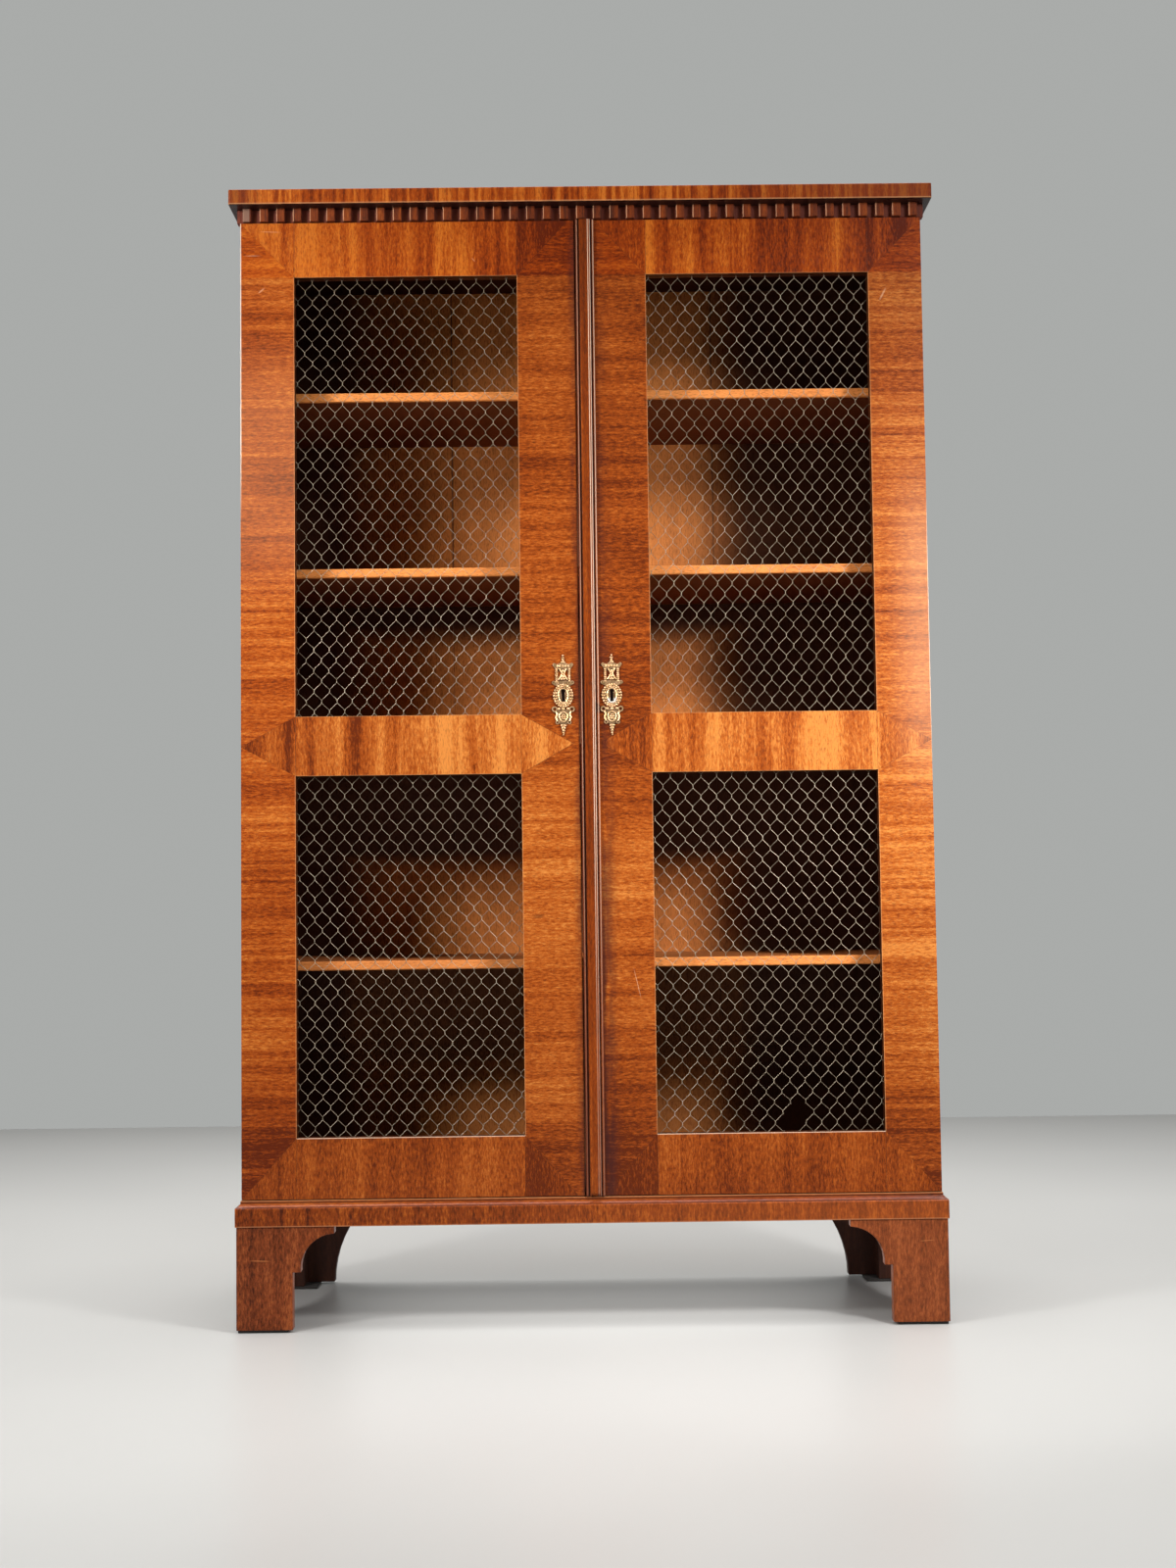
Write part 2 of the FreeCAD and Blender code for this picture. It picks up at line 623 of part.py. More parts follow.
def door(side):
    """Two stiles and three rails, rebated at the back for the netting and the beads behind it."""
    across = span(side, "centre_to_opening", "opening_outer")
    depth = ("door_front_y", "door_back_y")
    full = ("door_bottom_z", "door_top_z")
    meeting = {"left": ("-centre_to_opening", "left_edge"),
               "right": ("right_edge", "centre_to_opening")}
    wide = (f"{across[0]} - rebate_width", f"{across[1]} + rebate_width")
    rebates = [block(f"{side}_{place}_rebate", wide, ("net_front_y", "door_back_y"),
                     (f"{low} - rebate_width", f"{high} + rebate_width"))
               for place, (low, high) in OPENINGS.items()]
    housings = [pivot_recess(side, "top_housing", "door_top_z - pivot_plate_thickness"),
                pivot_recess(side, "bottom_housing", "door_bottom_z")]
    frame = {"hinge_stile": (span(side, "opening_outer", "half_width"), full, housings),
             "meeting_stile": (meeting[side], full, lock_housing() if side == "right" else strike_housing()),
             "top_rail": (across, ("upper_opening_top_z", "door_top_z"), []),
             "middle_rail": (across, ("middle_rail_z", "upper_opening_z"), []),
             "bottom_rail": (across, ("door_bottom_z", "lower_opening_z"), [])}
    for name, (xs, zs, housing) in frame.items():
        blank = block(f"{side}_{name}_blank", xs, depth, zs)
        keep(cut(f"{side}_{name}", blank, rebates + housing))

    beads = []
    behind = ("net_back_y", "door_back_y")
    for place, (low, high) in OPENINGS.items():
        keep(netting(f"{side}_{place}_netting", across, (low, high)))
        strips = {"bottom": (wide, (f"{low} - rebate_width", low)),
                  "top": (wide, (high, f"{high} + rebate_width")),
                  "first": ((wide[0], across[0]), (low, high)),
                  "last": ((across[1], wide[1]), (low, high))}
        for end, (xs, zs) in strips.items():
            beads.append(block(f"{side}_{place}_{end}_bead", xs, behind, zs))
    keep(group(f"{side}_netting_beads", beads))


def clipped(corners, low, high):
    """The part of a convex outline that lies inside a rectangle."""
    for axis, limit, sign in ((0, low[0], 1), (0, high[0], -1), (1, low[1], 1), (1, high[1], -1)):
        inside = []
        for start, end in zip(corners, corners[1:] + corners[:1]):
            ahead = [sign * (point[axis] - limit) for point in (start, end)]
            if ahead[0] >= 0:
                inside.append(start)
            if ahead[0] * ahead[1] < 0:
                share = ahead[0] / (ahead[0] - ahead[1])
                inside.append(tuple(a + share * (b - a) for a, b in zip(start, end)))
        corners = inside
    return corners


def netting(name, xs, zs):
    """One sheet of six-sided wire netting: a thin plate holed by staggered rows of cells."""
    margin = value("rebate_width - net_clearance")
    low = (value(xs[0]) - margin, value(zs[0]) - margin)
    high = (value(xs[1]) + margin, value(zs[1]) + margin)
    front = value("net_front_y")
    edge = value("net_selvedge")
    pitch = value("net_pitch")
    step = value("net_row")
    half_gap = (pitch - value("net_wire")) / 2
    half_side = (value("net_twist") - value("net_wire") / 2) / 2
    half_cell = step - half_side - value("net_wire")
    inner_low = (low[0] + edge, low[1] + edge)
    inner_high = (high[0] - edge, high[1] - edge)
    middle = (low[0] + high[0]) / 2
    columns = math.ceil((high[0] - low[0]) / pitch / 2) + 1
    rows = math.ceil((high[1] - low[1]) / step) + 1

    def loop(points):
        vectors = [FreeCAD.Vector(x, front, z) for x, z in points]
        return Part.makePolygon(vectors + vectors[:1])

    wires = [loop([low, (high[0], low[1]), high, (low[0], high[1])])]
    for row in range(rows):
        z = low[1] + row * step
        shift = pitch / 2 if row % 2 else 0
        for column in range(-columns, columns + 1):
            x = middle + column * pitch + shift
            cell = [(x + half_gap, z - half_side), (x + half_gap, z + half_side), (x, z + half_cell),
                    (x - half_gap, z + half_side), (x - half_gap, z - half_side), (x, z - half_cell)]
            hole = clipped(cell, inner_low, inner_high)
            if len(hole) > 2 and Part.Face(loop(hole)).Area > edge * edge:
                wires.append(loop(hole))
    holed = Part.makeFace(wires, "Part::FaceMakerBullseye")
    item = doc.addObject("Part::Feature", name)
    item.Shape = holed.extrude(FreeCAD.Vector(0, value("net_thickness"), 0))
    print(f"{name}: {len(wires) - 1} cells")
    return item


def keyhole(name, x, near, depth):
    """A round keyhole with a slot below it, from a plane backwards."""
    head = rod(f"{name}_round", "y", x, near, "key_z", "keyhole_radius", depth)
    slot = block(f"{name}_slot", about(x, "keyhole_slot_width"), (near, f"{near} + {depth}"),
                 ("key_z - keyhole_slot", "key_z"))
    return fuse(name, [head, slot])


def lock_block(name):
    """The space of the lock's case, let into the back of the right meeting stile."""
    return block(name, ("right_edge", "right_edge + lock_width"), ("lock_front_y", "door_back_y"),
                 ("key_z - lock_below", "key_z + lock_above"))


def lock_housing():
    """The cut for the lock's case in the right meeting stile and the keyhole in front of it."""
    case = lock_block("lock_housing")
    depth = "lock_front_y - door_front_y"
    return [case, keyhole("right_stile_keyhole", "escutcheon_right", "door_front_y", depth)]


def strike_housing():
    """The mortise that takes the lock's bolt in the left meeting stile, and its blind keyhole."""
    depth = "lock_bolt_throw - meeting_gap + 2 * lock_bolt_clearance"
    mortise = block("strike_mortise", (f"left_edge - ({depth})", "left_edge"),
                    about("lock_bolt_y", "lock_bolt_thickness + 2 * lock_bolt_clearance"),
                    about("lock_bolt_z", "lock_bolt_height + 2 * lock_bolt_clearance"))
    return [mortise, keyhole("left_stile_keyhole", "escutcheon_left", "door_front_y", "keyhole_depth")]


def lock_screw_places():
    """The X and Z of the screws at the corners of the lock's case."""
    edge = "screw_margin + screw_head_radius"
    return [(x, z) for x in (f"right_edge + {edge}", f"right_edge + lock_width - ({edge})")
            for z in (f"key_z - lock_below + {edge}", f"key_z + lock_above - ({edge})")]


def lock():
    """The lock's case with its key pin, and the bolt that slides in it."""
    case = lock_block("lock_case_blank")
    channel_end = "right_edge + lock_bolt_length + 2 * lock_bolt_clearance"
    channel = block("lock_channel", ("right_edge", channel_end),
                    about("lock_bolt_y", "lock_bolt_thickness + 2 * lock_bolt_clearance"),
                    about("lock_bolt_z", "lock_bolt_height + 2 * lock_bolt_clearance"))
    half = "lock_thickness / 2"
    entry = keyhole("lock_keyhole", "escutcheon_right", "lock_front_y", half)
    holes = []
    for index, (x, z) in enumerate(lock_screw_places(), start=1):
        holes.append(rod(f"lock_screw_hole_{index}", "y", x, "lock_front_y", z, "screw_hole_radius",
                         "lock_thickness"))
    pin = rod("lock_pin", "y", "escutcheon_right", "lock_front_y", "key_z", "lock_pin_radius", half)
    keep(cut("lock_case", case, [channel, cut("lock_entry", entry, [pin])] + holes))
    start = "right_edge + lock_bolt_clearance"
    keep(block("lock_bolt", (start, f"{start} + lock_bolt_length"),
               about("lock_bolt_y", "lock_bolt_thickness"), about("lock_bolt_z", "lock_bolt_height")))


def escutcheon(side):
    """A gilt plate stacked from finial, abacus, shaft, cartouche, bow, medallion and pendant."""
    x = value(f"escutcheon_{side}")
    thick = value("escutcheon_thickness")
    front = value("door_front_y") - thick
    tiers = ("finial", "abacus", "shaft", "cartouche", "bow", "medallion", "pendant")
    top = value("escutcheon_height") + sum(value(f"{tier}_height") for tier in tiers) / 2
    solids = []
    for tier in tiers:
        wide = value(f"{tier}_width")
        tall = value(f"{tier}_height")
        middle = FreeCAD.Vector(x, front, top - tall / 2)
        if tier in ("cartouche", "medallion"):
            ellipse = Part.Ellipse(FreeCAD.Vector(), max(wide, tall) / 2 + thick, min(wide, tall) / 2)
            face = Part.Face(Part.Wire(ellipse.toShape()))
            turn = FreeCAD.Rotation(FreeCAD.Vector(0, 0, 1), 90 if tall > wide else 0)
            face.Placement = FreeCAD.Placement(middle, FreeCAD.Rotation(FreeCAD.Vector(1, 0, 0), 90) * turn)
            solids.append(face.extrude(FreeCAD.Vector(0, thick, 0)))
        else:
            solids.append(Part.makeBox(wide, thick, tall, FreeCAD.Vector(x - wide / 2, front, top - tall)))
        top -= tall
    plate = solids[0].fuse(solids[1:])

    def pierce(middle, wide, low, tall):
        return Part.makeBox(wide, thick, tall, FreeCAD.Vector(middle - wide / 2, front, low))

    tall = value("shaft_slot_height")
    low = value("escutcheon_height") + sum(value(f"{tier}_height") for tier in tiers) / 2
    low -= value("finial_height + abacus_height + shaft_height / 2") + tall / 2
    offset = value("shaft_slot_offset")
    holes = [pierce(x + shift, value("shaft_slot_width"), low, tall) for shift in (-offset, offset)]
    key = value("key_z")
    slot = value("keyhole_slot")
    holes.append(pierce(x, value("keyhole_slot_width"), key - slot, slot))
    holes.append(Part.makeCylinder(value("keyhole_radius"), thick, FreeCAD.Vector(x, front, key),
                                   FreeCAD.Vector(0, 1, 0)))
    item = doc.addObject("Part::Feature", f"{side}_escutcheon")
    item.Shape = plate.cut(holes).removeSplitter()
    keep(item)


def astragal():
    """The strip that hides the doors' meeting: a flat bead between grooves on a thin backing."""
    near = "astragal_fillet"
    bead = "astragal_fillet + astragal_groove"
    far = "astragal_width - astragal_fillet"
    far_bead = "astragal_width - astragal_fillet - astragal_groove"
    lip = "-astragal_backing"
    flat = "-astragal_backing / 2"
    proud = "-astragal_height"
    corners = [("0", "0"), ("astragal_width", "0"), ("astragal_width", lip), (far, lip), (far, flat),
               (far_bead, flat), (far_bead, proud), (bead, proud), (bead, flat), (near, flat), (near, lip),
               ("0", lip)]
    strip = prism("astragal_strip", "XY_Plane", corners, "door_height", x="right_edge", y="door_front_y",
                  z="door_bottom_z")
    stop = block("astragal_stop", (f"right_edge + {near}", f"right_edge + {far}"),
                 ("door_front_y - astragal_height", "door_front_y - astragal_backing"),
                 ("door_bottom_z", "door_bottom_z + astragal_bead_end"))
    keep(cut("astragal", strip, [stop]))


def bolt_screw_heights(end):
    """The heights of the two screws at the ends of a barrel bolt's plate."""
    near = "bolt_plate_margin + screw_margin + screw_head_radius"
    far = "bolt_plate_margin + bolt_plate_length - screw_margin - screw_head_radius"
    return [f"door_top_z - ({run})" if end == "top" else f"door_bottom_z + {run}" for run in (near, far)]


def barrel_bolt(end):
    """A bolt on the back of the left door: a plate with two loops, and the rod with its knob."""
    up = 1 if end == "top" else -1
    edge = "door_top_z" if end == "top" else "door_bottom_z"

    def heights(near, far):
        low, high = (far, near) if up > 0 else (near, far)
        return f"{edge} - {up} * ({low})", f"{edge} - {up} * ({high})"

    plate_end = "bolt_plate_margin + bolt_plate_length"
    plate = block(f"{end}_bolt_plate", about("bolt_x", "bolt_plate_width"),
                  ("door_back_y", "door_back_y + bolt_plate_thickness"),
                  heights("bolt_plate_margin", plate_end))
    loop_y = ("door_back_y", "bolt_y + bolt_radius + bolt_loop_wall")
    first = "bolt_plate_margin + bolt_loop_margin"
    last = f"{plate_end} - bolt_loop_margin - bolt_loop_height"
    loops = [block(f"{end}_bolt_loop_{index}", about("bolt_x", "bolt_loop_width"), loop_y,
                   heights(near, f"{near} + bolt_loop_height"))
             for index, near in enumerate((first, last), start=1)]
    low, high = heights("bolt_plate_margin", plate_end)
    bore = rod(f"{end}_bolt_bore", "z", "bolt_x", "bolt_y", low, "bolt_radius + bolt_clearance",
               f"({high}) - ({low})")
    holes = [rod(f"{end}_bolt_screw_hole_{index}", "y", "bolt_x", "door_back_y", z, "screw_hole_radius",
                 "bolt_plate_thickness") for index, z in enumerate(bolt_screw_heights(end), start=1)]
    guide = cut(f"{end}_bolt_guide", fuse(f"{end}_bolt_guide_blank", [plate] + loops), [bore] + holes)

    low, high = heights("bolt_rest", "bolt_rest + bolt_length")
    shank = rod(f"{end}_bolt_shank", "z", "bolt_x", "bolt_y", low, "bolt_radius", f"({high}) - ({low})")
    middle = f"{edge} - {up} * (bolt_plate_margin + bolt_plate_length / 2 + bolt_throw / 2)"
    knob = rod(f"{end}_bolt_knob", "y", "bolt_x", "bolt_y", middle, "bolt_knob_radius",
               "bolt_radius + bolt_knob_length")
    keep(fuse(f"{end}_bolt", [shank, knob]))
    return guide


def wood_screw(name, x, near, z):
    """A round-headed screw driven forwards through a plate's back into the wood."""
    head = rod(f"{name}_head", "y", x, near, z, "screw_head_radius", "screw_head_height")
    shank = rod(f"{name}_shank", "y", x, f"{near} - screw_length", z, "screw_radius", "screw_length")
    return fuse(name, [head, shank])


def fittings():
    """Bolts and screws on the left door, the lock and its screws on the right, and both escutcheons."""
    keep(group("bolt_guides", [barrel_bolt("top"), barrel_bolt("bottom")]))
    lock()
    astragal()
    for side in SIDES:
        escutcheon(side)
    heights = bolt_screw_heights("top") + bolt_screw_heights("bottom")
    plate_back = "door_back_y + bolt_plate_thickness"
    keep(group("bolt_screws", [wood_screw(f"bolt_screw_{index}", "bolt_x", plate_back, z)
                               for index, z in enumerate(heights, start=1)]))
    keep(group("lock_screws", [wood_screw(f"lock_screw_{index}", x, "door_back_y", z)
                               for index, (x, z) in enumerate(lock_screw_places(), start=1)]))


carcass()
cornice()
base()
feet()
shelves()
pivots()
for hand in SIDES:
    door(hand)
fittings()
doc.recompute()

# Every object has to be sound before anything is written
for item in doc.Objects:
    if "Invalid" in item.State or "Error" in item.State:
        raise RuntimeError(f"{item.Label} failed: {item.State}")
for name, piece in nodes.items():
    if piece.Shape.isNull() or not piece.Shape.isValid():
        raise RuntimeError(f"{name} has no valid shape")

os.makedirs("parts", exist_ok=True)
for name, piece in nodes.items():
    piece.Shape.exportStep(f"parts/{name}.step")
print(f"{len(nodes)} pieces, {value('overall_depth'):.1f} mm deep")
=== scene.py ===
# %% [markdown]
# # A display cabinet in crossbanded mahogany
# The solids of the cabinet are already packed, so this lesson only dresses them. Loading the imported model
# gives every solid at its real place, in metres, and the bodies that swing, slide or lift. Each piece made
# below rides on one of them, so it moves with its door, bolt or shelf.

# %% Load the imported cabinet
import json
import math
import random
from contextlib import contextmanager

import bmesh
import bpy
from mathutils import Matrix, Vector

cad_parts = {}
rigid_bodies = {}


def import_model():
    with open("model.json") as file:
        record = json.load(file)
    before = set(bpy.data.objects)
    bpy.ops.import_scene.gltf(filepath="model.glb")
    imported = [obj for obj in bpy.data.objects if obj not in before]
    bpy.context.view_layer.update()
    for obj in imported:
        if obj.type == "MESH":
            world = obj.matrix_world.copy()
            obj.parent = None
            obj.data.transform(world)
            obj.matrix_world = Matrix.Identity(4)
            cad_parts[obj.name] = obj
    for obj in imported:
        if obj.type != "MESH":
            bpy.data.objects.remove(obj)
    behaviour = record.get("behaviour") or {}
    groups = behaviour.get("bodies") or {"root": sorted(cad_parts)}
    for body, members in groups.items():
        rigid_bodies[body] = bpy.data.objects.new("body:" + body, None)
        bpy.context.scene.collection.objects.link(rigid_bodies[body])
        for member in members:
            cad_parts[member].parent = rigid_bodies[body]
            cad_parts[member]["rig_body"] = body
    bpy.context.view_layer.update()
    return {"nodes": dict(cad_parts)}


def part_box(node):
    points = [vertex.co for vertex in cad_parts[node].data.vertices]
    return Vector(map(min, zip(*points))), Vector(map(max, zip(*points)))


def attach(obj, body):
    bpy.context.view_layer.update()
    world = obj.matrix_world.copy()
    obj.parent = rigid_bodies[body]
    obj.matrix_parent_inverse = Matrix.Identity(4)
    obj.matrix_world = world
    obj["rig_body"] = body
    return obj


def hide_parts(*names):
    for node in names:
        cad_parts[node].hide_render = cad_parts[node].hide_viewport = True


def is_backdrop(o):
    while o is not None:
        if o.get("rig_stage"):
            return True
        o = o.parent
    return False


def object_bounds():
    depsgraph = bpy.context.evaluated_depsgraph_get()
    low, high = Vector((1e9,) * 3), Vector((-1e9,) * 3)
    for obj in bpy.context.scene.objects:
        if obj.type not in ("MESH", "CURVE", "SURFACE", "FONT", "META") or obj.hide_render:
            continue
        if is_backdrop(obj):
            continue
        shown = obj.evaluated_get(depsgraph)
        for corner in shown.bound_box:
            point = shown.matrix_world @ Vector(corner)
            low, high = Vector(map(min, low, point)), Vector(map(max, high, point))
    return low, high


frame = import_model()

MM = 0.001
DENTIL = 14.4 * MM
FRONT_DENTILS = 41
SIDE_DENTILS = 15
PLANK = 241.0 * MM
PIVOT_PLATE = 2.5 * MM

# %% [markdown]
# ## The camera
# The cabinet is seen from the front, a little left of its middle, from about table height and tilted up.
# A camera can be aimed with a constraint, but the photograph's small roll is easier to keep by writing the
# three directions of the camera as the columns of a matrix.

# %% Camera
FOCAL = 1940.0
FRAME_HEIGHT = 1600.0
SENSOR = 36.0
PITCH, YAW, ROLL = 0.0586, 0.0059, -0.0121


def added(name, data):
    """A new object in the scene."""
    made = bpy.data.objects.new(name, data)
    bpy.context.scene.collection.objects.link(made)
    return made


forward = Vector((math.sin(YAW) * math.cos(PITCH), math.cos(YAW) * math.cos(PITCH), math.sin(PITCH)))
level = Vector((math.cos(YAW), -math.sin(YAW), 0))
right = math.cos(ROLL) * level + math.sin(ROLL) * level.cross(forward)
up = right.cross(forward)
eye = added("eye", bpy.data.cameras.new("eye"))
turned = Matrix((right, up, -forward)).transposed().to_4x4()
eye.matrix_world = Matrix.Translation((-0.0170, -3.2863, 0.6932)) @ turned
eye.data.sensor_width = SENSOR
eye.data.lens = FOCAL * SENSOR / FRAME_HEIGHT
bpy.context.scene.camera = eye
print(f"lens {eye.data.lens:.1f} mm")

# %% [markdown]
# ## Writing finishes as sums
# A finish or a sky is a graph of nodes, which is long to wire by hand. This class wraps one socket, so that
# masks and tones can be written as plain sums: adding two of them adds a Math node. Every other node comes
# from the method `node`, which sets the node's own settings first and then fills or links its sockets.

# %% A socket that can be added and multiplied


def pairing(operation):
    """A method that feeds two values into a Math node."""
    return lambda self, other: self.maths(operation, self, other)


class Flow:
    """One output socket of a finish."""

    def __init__(self, tree, socket):
        self.tree = tree
        self.socket = socket

    def node(self, kind, settings=None, inputs=None, output=0):
        """Add any node, with values or links for its sockets."""
        made = self.tree.nodes.new("ShaderNode" + kind)
        for key, setting in (settings or {}).items():
            if key == "stops":
                ramp = made.color_ramp
                while len(ramp.elements) < len(setting):
                    ramp.elements.new(1)
                for element, (place, colour) in zip(ramp.elements, setting):
                    element.position = place
                    element.color = (*colour, 1)
            else:
                setattr(made, key, setting)
        for key, content in (inputs or {}).items():
            if isinstance(content, Flow):
                self.tree.links.new(content.socket, made.inputs[key])
            else:
                made.inputs[key].default_value = content
        return Flow(self.tree, made.outputs[output])

    def maths(self, operation, *values):
        return self.node("Math", {"operation": operation}, dict(enumerate(values)))

    __add__ = __radd__ = pairing("ADD")
    __mul__ = __rmul__ = pairing("MULTIPLY")
    __sub__ = pairing("SUBTRACT")
    __truediv__ = pairing("DIVIDE")
    __gt__ = pairing("GREATER_THAN")
    __lt__ = pairing("LESS_THAN")
    larger = pairing("MAXIMUM")
    smaller = pairing("MINIMUM")

    def __rsub__(self, other):
        return self.maths("SUBTRACT", other, self)

    def __abs__(self):
        return self.maths("ABSOLUTE", self)

    def rise(self, low, high):
        """A soft step from 0 at low to 1 at high."""
        settings = {"interpolation_type": "SMOOTHSTEP"}
        return self.node("MapRange", settings, {"Value": self, "From Min": low, "From Max": high})

    def noise(self, x, y, z, detail=2.0, rough=0.55):
        """Cloudy noise on three numbers, about 0.5 on average."""
        place = self.node("CombineXYZ", inputs={0: x, 1: y, 2: z})
        look = {"Vector": place, "Scale": 1.0, "Detail": detail, "Roughness": rough}
        return self.node("TexNoise", inputs=look)

    def tones(self, *stops):
        """A colour for each value, from dark to pale."""
        return self.node("ValToRGB", {"stops": stops}, {"Fac": self})

    def over(self, below, colour, blend="MIX"):
        """Lay a colour over another one where this mask is 1."""
        settings = {"data_type": "RGBA", "blend_type": blend}
        return self.node("Mix", settings, {0: self, 6: below, 7: colour}, output=2)


def any_of(*masks):
    """The strongest of several masks."""
    strongest, *others = masks
    for mask in others:
        strongest = strongest.larger(mask)
    return strongest


print("sockets can be added and multiplied")

# %% A material and its coordinates


class Finish:
    """A material with its shader, and the object's coordinates as three numbers."""

    def __init__(self, name, constants=None):
        self.material = bpy.data.materials.new(name)
        self.material.use_nodes = True
        tree = self.material.node_tree
        self.shader = tree.nodes["Principled BSDF"]
        for key, constant in (constants or {}).items():
            self.shader.inputs[key].default_value = constant
        start = Flow(tree, None)
        place = start.node("TexCoord", output="Object")
        self.x, self.y, self.z = (start.node("SeparateXYZ", inputs={0: place}, output=axis) for axis in "XYZ")

    def set(self, colour, rough, height=None, depth=0.0002):
        """Link the colour and roughness, and a height in metres through a bump."""
        for key, flow in (("Base Color", colour), ("Roughness", rough)):
            self.shader.id_data.links.new(flow.socket, self.shader.inputs[key])
        if height is not None:
            bump = height.node("Bump", inputs={"Strength": 1.0, "Distance": depth, "Height": height})
            self.shader.id_data.links.new(bump.socket, self.shader.inputs["Normal"])
        return self.material


print("finishes can be written as sums")

# %% [markdown]
# ## The light and the floor
# Four soft boxes stand in front, on both sides. Their light goes in through the netting at a slant and leaves
# bright patches on the back boards. One lamp grazes the left edge, a warm one reaches the cornice, a wide one
# overhead lights the floor, and two under the cabinet stand for what a pale room throws there. A bright sky
# would be simpler, but it would fill the shadows of the shelves. So the sky gives little light, and only the
# camera and shiny surfaces see it as a grey wall. The floor is a plain pale sheet.

# %% Soft boxes, sky and floor


def soft_box(name, place, aim, size, power, spread, colour=(1, 1, 1), deep=None):
    """A flat lamp turned towards a point, with a grid that keeps its light in a cone."""
    lamp = added(name, bpy.data.lights.new(name, "AREA"))
    lamp.data.shape = "RECTANGLE"
    lamp.data.size = size
    lamp.data.size_y = deep or size
    lamp.data.energy = power
    lamp.data.color = colour
    lamp.data.spread = math.radians(spread)
    lamp.location = place
    lamp.rotation_euler = (Vector(aim) - Vector(place)).to_track_quat("-Z", "Y").to_euler()
    return lamp


soft_box("right_soft_box", (1.20, -1.25, 1.41), (0.29, -0.19, 0.70), 0.24, 5.9, 84)
soft_box("upper_right_soft_box", (1.33, -1.50, 1.97), (0.10, -0.19, 1.00), 0.38, 5.4, 90)
soft_box("upper_left_soft_box", (-1.74, -1.50, 1.97), (-0.10, -0.19, 1.00), 0.38, 11.5, 90)
soft_box("left_soft_box", (-2.2, -2.2, 1.40), (-0.25, -0.19, 1.10), 0.5, 1.3, 80)
soft_box("left_edge_light", (-1.6, -0.75, 1.20), (-0.50, -0.19, 1.30), 0.3, 1.0, 80)
soft_box("high_soft_box", (-1.6, -3.0, 2.9), (-0.3, 0.0, 1.85), 0.7, 1.2, 60, (1.0, 0.66, 0.20))
soft_box("overhead", (0, -0.3, 3.6), (0, -0.299, 0), 5.5, 144, 60)
soft_box("under_front_fill", (0, -0.165, 0.166), (0, -0.164, 0), 0.80, 0.36, 180, deep=0.06)
soft_box("under_back_fill", (0, 0.03, 0.166), (0, 0.031, 0), 0.84, 0.60, 180, deep=0.24)

SKY_LIGHT = 0.02
BACKDROP = (0.40, 0.41, 0.40, 1)
world = bpy.data.worlds.new("studio")
world.use_nodes = True
bpy.context.scene.world = world
sky = world.node_tree
paths = sky.nodes.new("ShaderNodeLightPath").outputs
rays = ("Is Camera Ray", "Is Glossy Ray", "Is Transmission Ray")
shows = any_of(*(Flow(sky, paths[ray]) for ray in rays))
plain = sky.nodes["Background"]
plain.inputs["Color"].default_value = (1, 1, 1, 1)
plain.inputs["Strength"].default_value = SKY_LIGHT
wall = shows.node("Background", inputs={"Color": BACKDROP})
choose = shows.node("MixShader", inputs={0: shows, 1: Flow(sky, plain.outputs[0]), 2: wall})
sky.links.new(choose.socket, sky.nodes["World Output"].inputs["Surface"])
bpy.context.scene.view_settings.view_transform = "Standard"

bpy.ops.object.select_all(action="DESELECT")
bpy.ops.mesh.primitive_plane_add(size=1, location=(0, -0.6, -0.0005))
floor = bpy.context.object
floor.name = "studio_floor"
floor.scale = (9.0, 6.4, 1)
bpy.ops.object.transform_apply()
floor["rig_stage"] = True
print(f"floor {floor.dimensions.x:.1f} by {floor.dimensions.y:.1f} m")

# %% [markdown]
# ## Mahogany
# Polished mahogany has broad ribbons that run across the grain, fine darker lines along it, and short open
# pores. A picture of wood could be wrapped round each board, but noise shows no seams and fits any size. All
# three are the same cloudy noise, stretched along the grain by different amounts. It reads a number along the
# grain, one across it and one into the wood, so one recipe serves boards that stand and boards that lie.

# %% A recipe for timber


def timber(along, across, into, tones, ribbon=1.0, lines=1.0, width=0.022, shift=0.0, lift=0.0):
    """The colour, roughness and height of wood whose grain runs along one number."""
    sway = along.noise(along * 5, across * 9, into * 9, 1.0)
    bent = across + (sway - 0.5) * 0.007
    bands = along.noise(along * 1.6 + shift, bent / width, into / width, 4.0, 0.62)
    cloud = along.noise(along * 7 + shift, across * 7, into * 7, 2.0)
    streaks = along.noise(along * 90, bent * 300, into * 300, 4.0, 0.75)
    dashes = along.noise(along * 130, bent * 900, into * 900, 1.0)
    tone = (bands - 0.5) * (1.25 * ribbon) + (cloud - 0.5) * 0.45 + (streaks - 0.5) * (1.0 * lines)
    pore = dashes.rise(0.53, 0.70)
    colour = (pore * 0.45).over((tone + 0.5 + lift).tones(*tones), (0.050, 0.012, 0.002, 1))
    rough = 0.31 + (streaks - 0.5) * 0.12 + (cloud - 0.5) * 0.10 + pore * 0.10
    return colour, rough, streaks * 0.3 - pore * 0.3


def line(number, place, wide):
    """A thin mask where a number comes near one value, in millimetres."""
    return abs(number - place * MM).rise(wide * MM, wide * 0.3 * MM)


def mark(made, across, up, angle, long, wide):
    """A short stroke on the front, in millimetres and degrees."""
    lean = math.radians(angle)
    from_x, from_z = made.x - across * MM, made.z - up * MM
    run = from_x * math.cos(lean) + from_z * math.sin(lean)
    off = from_z * math.cos(lean) - from_x * math.sin(lean)
    return line(run, 0.0, long) * line(off, 0.0, wide)


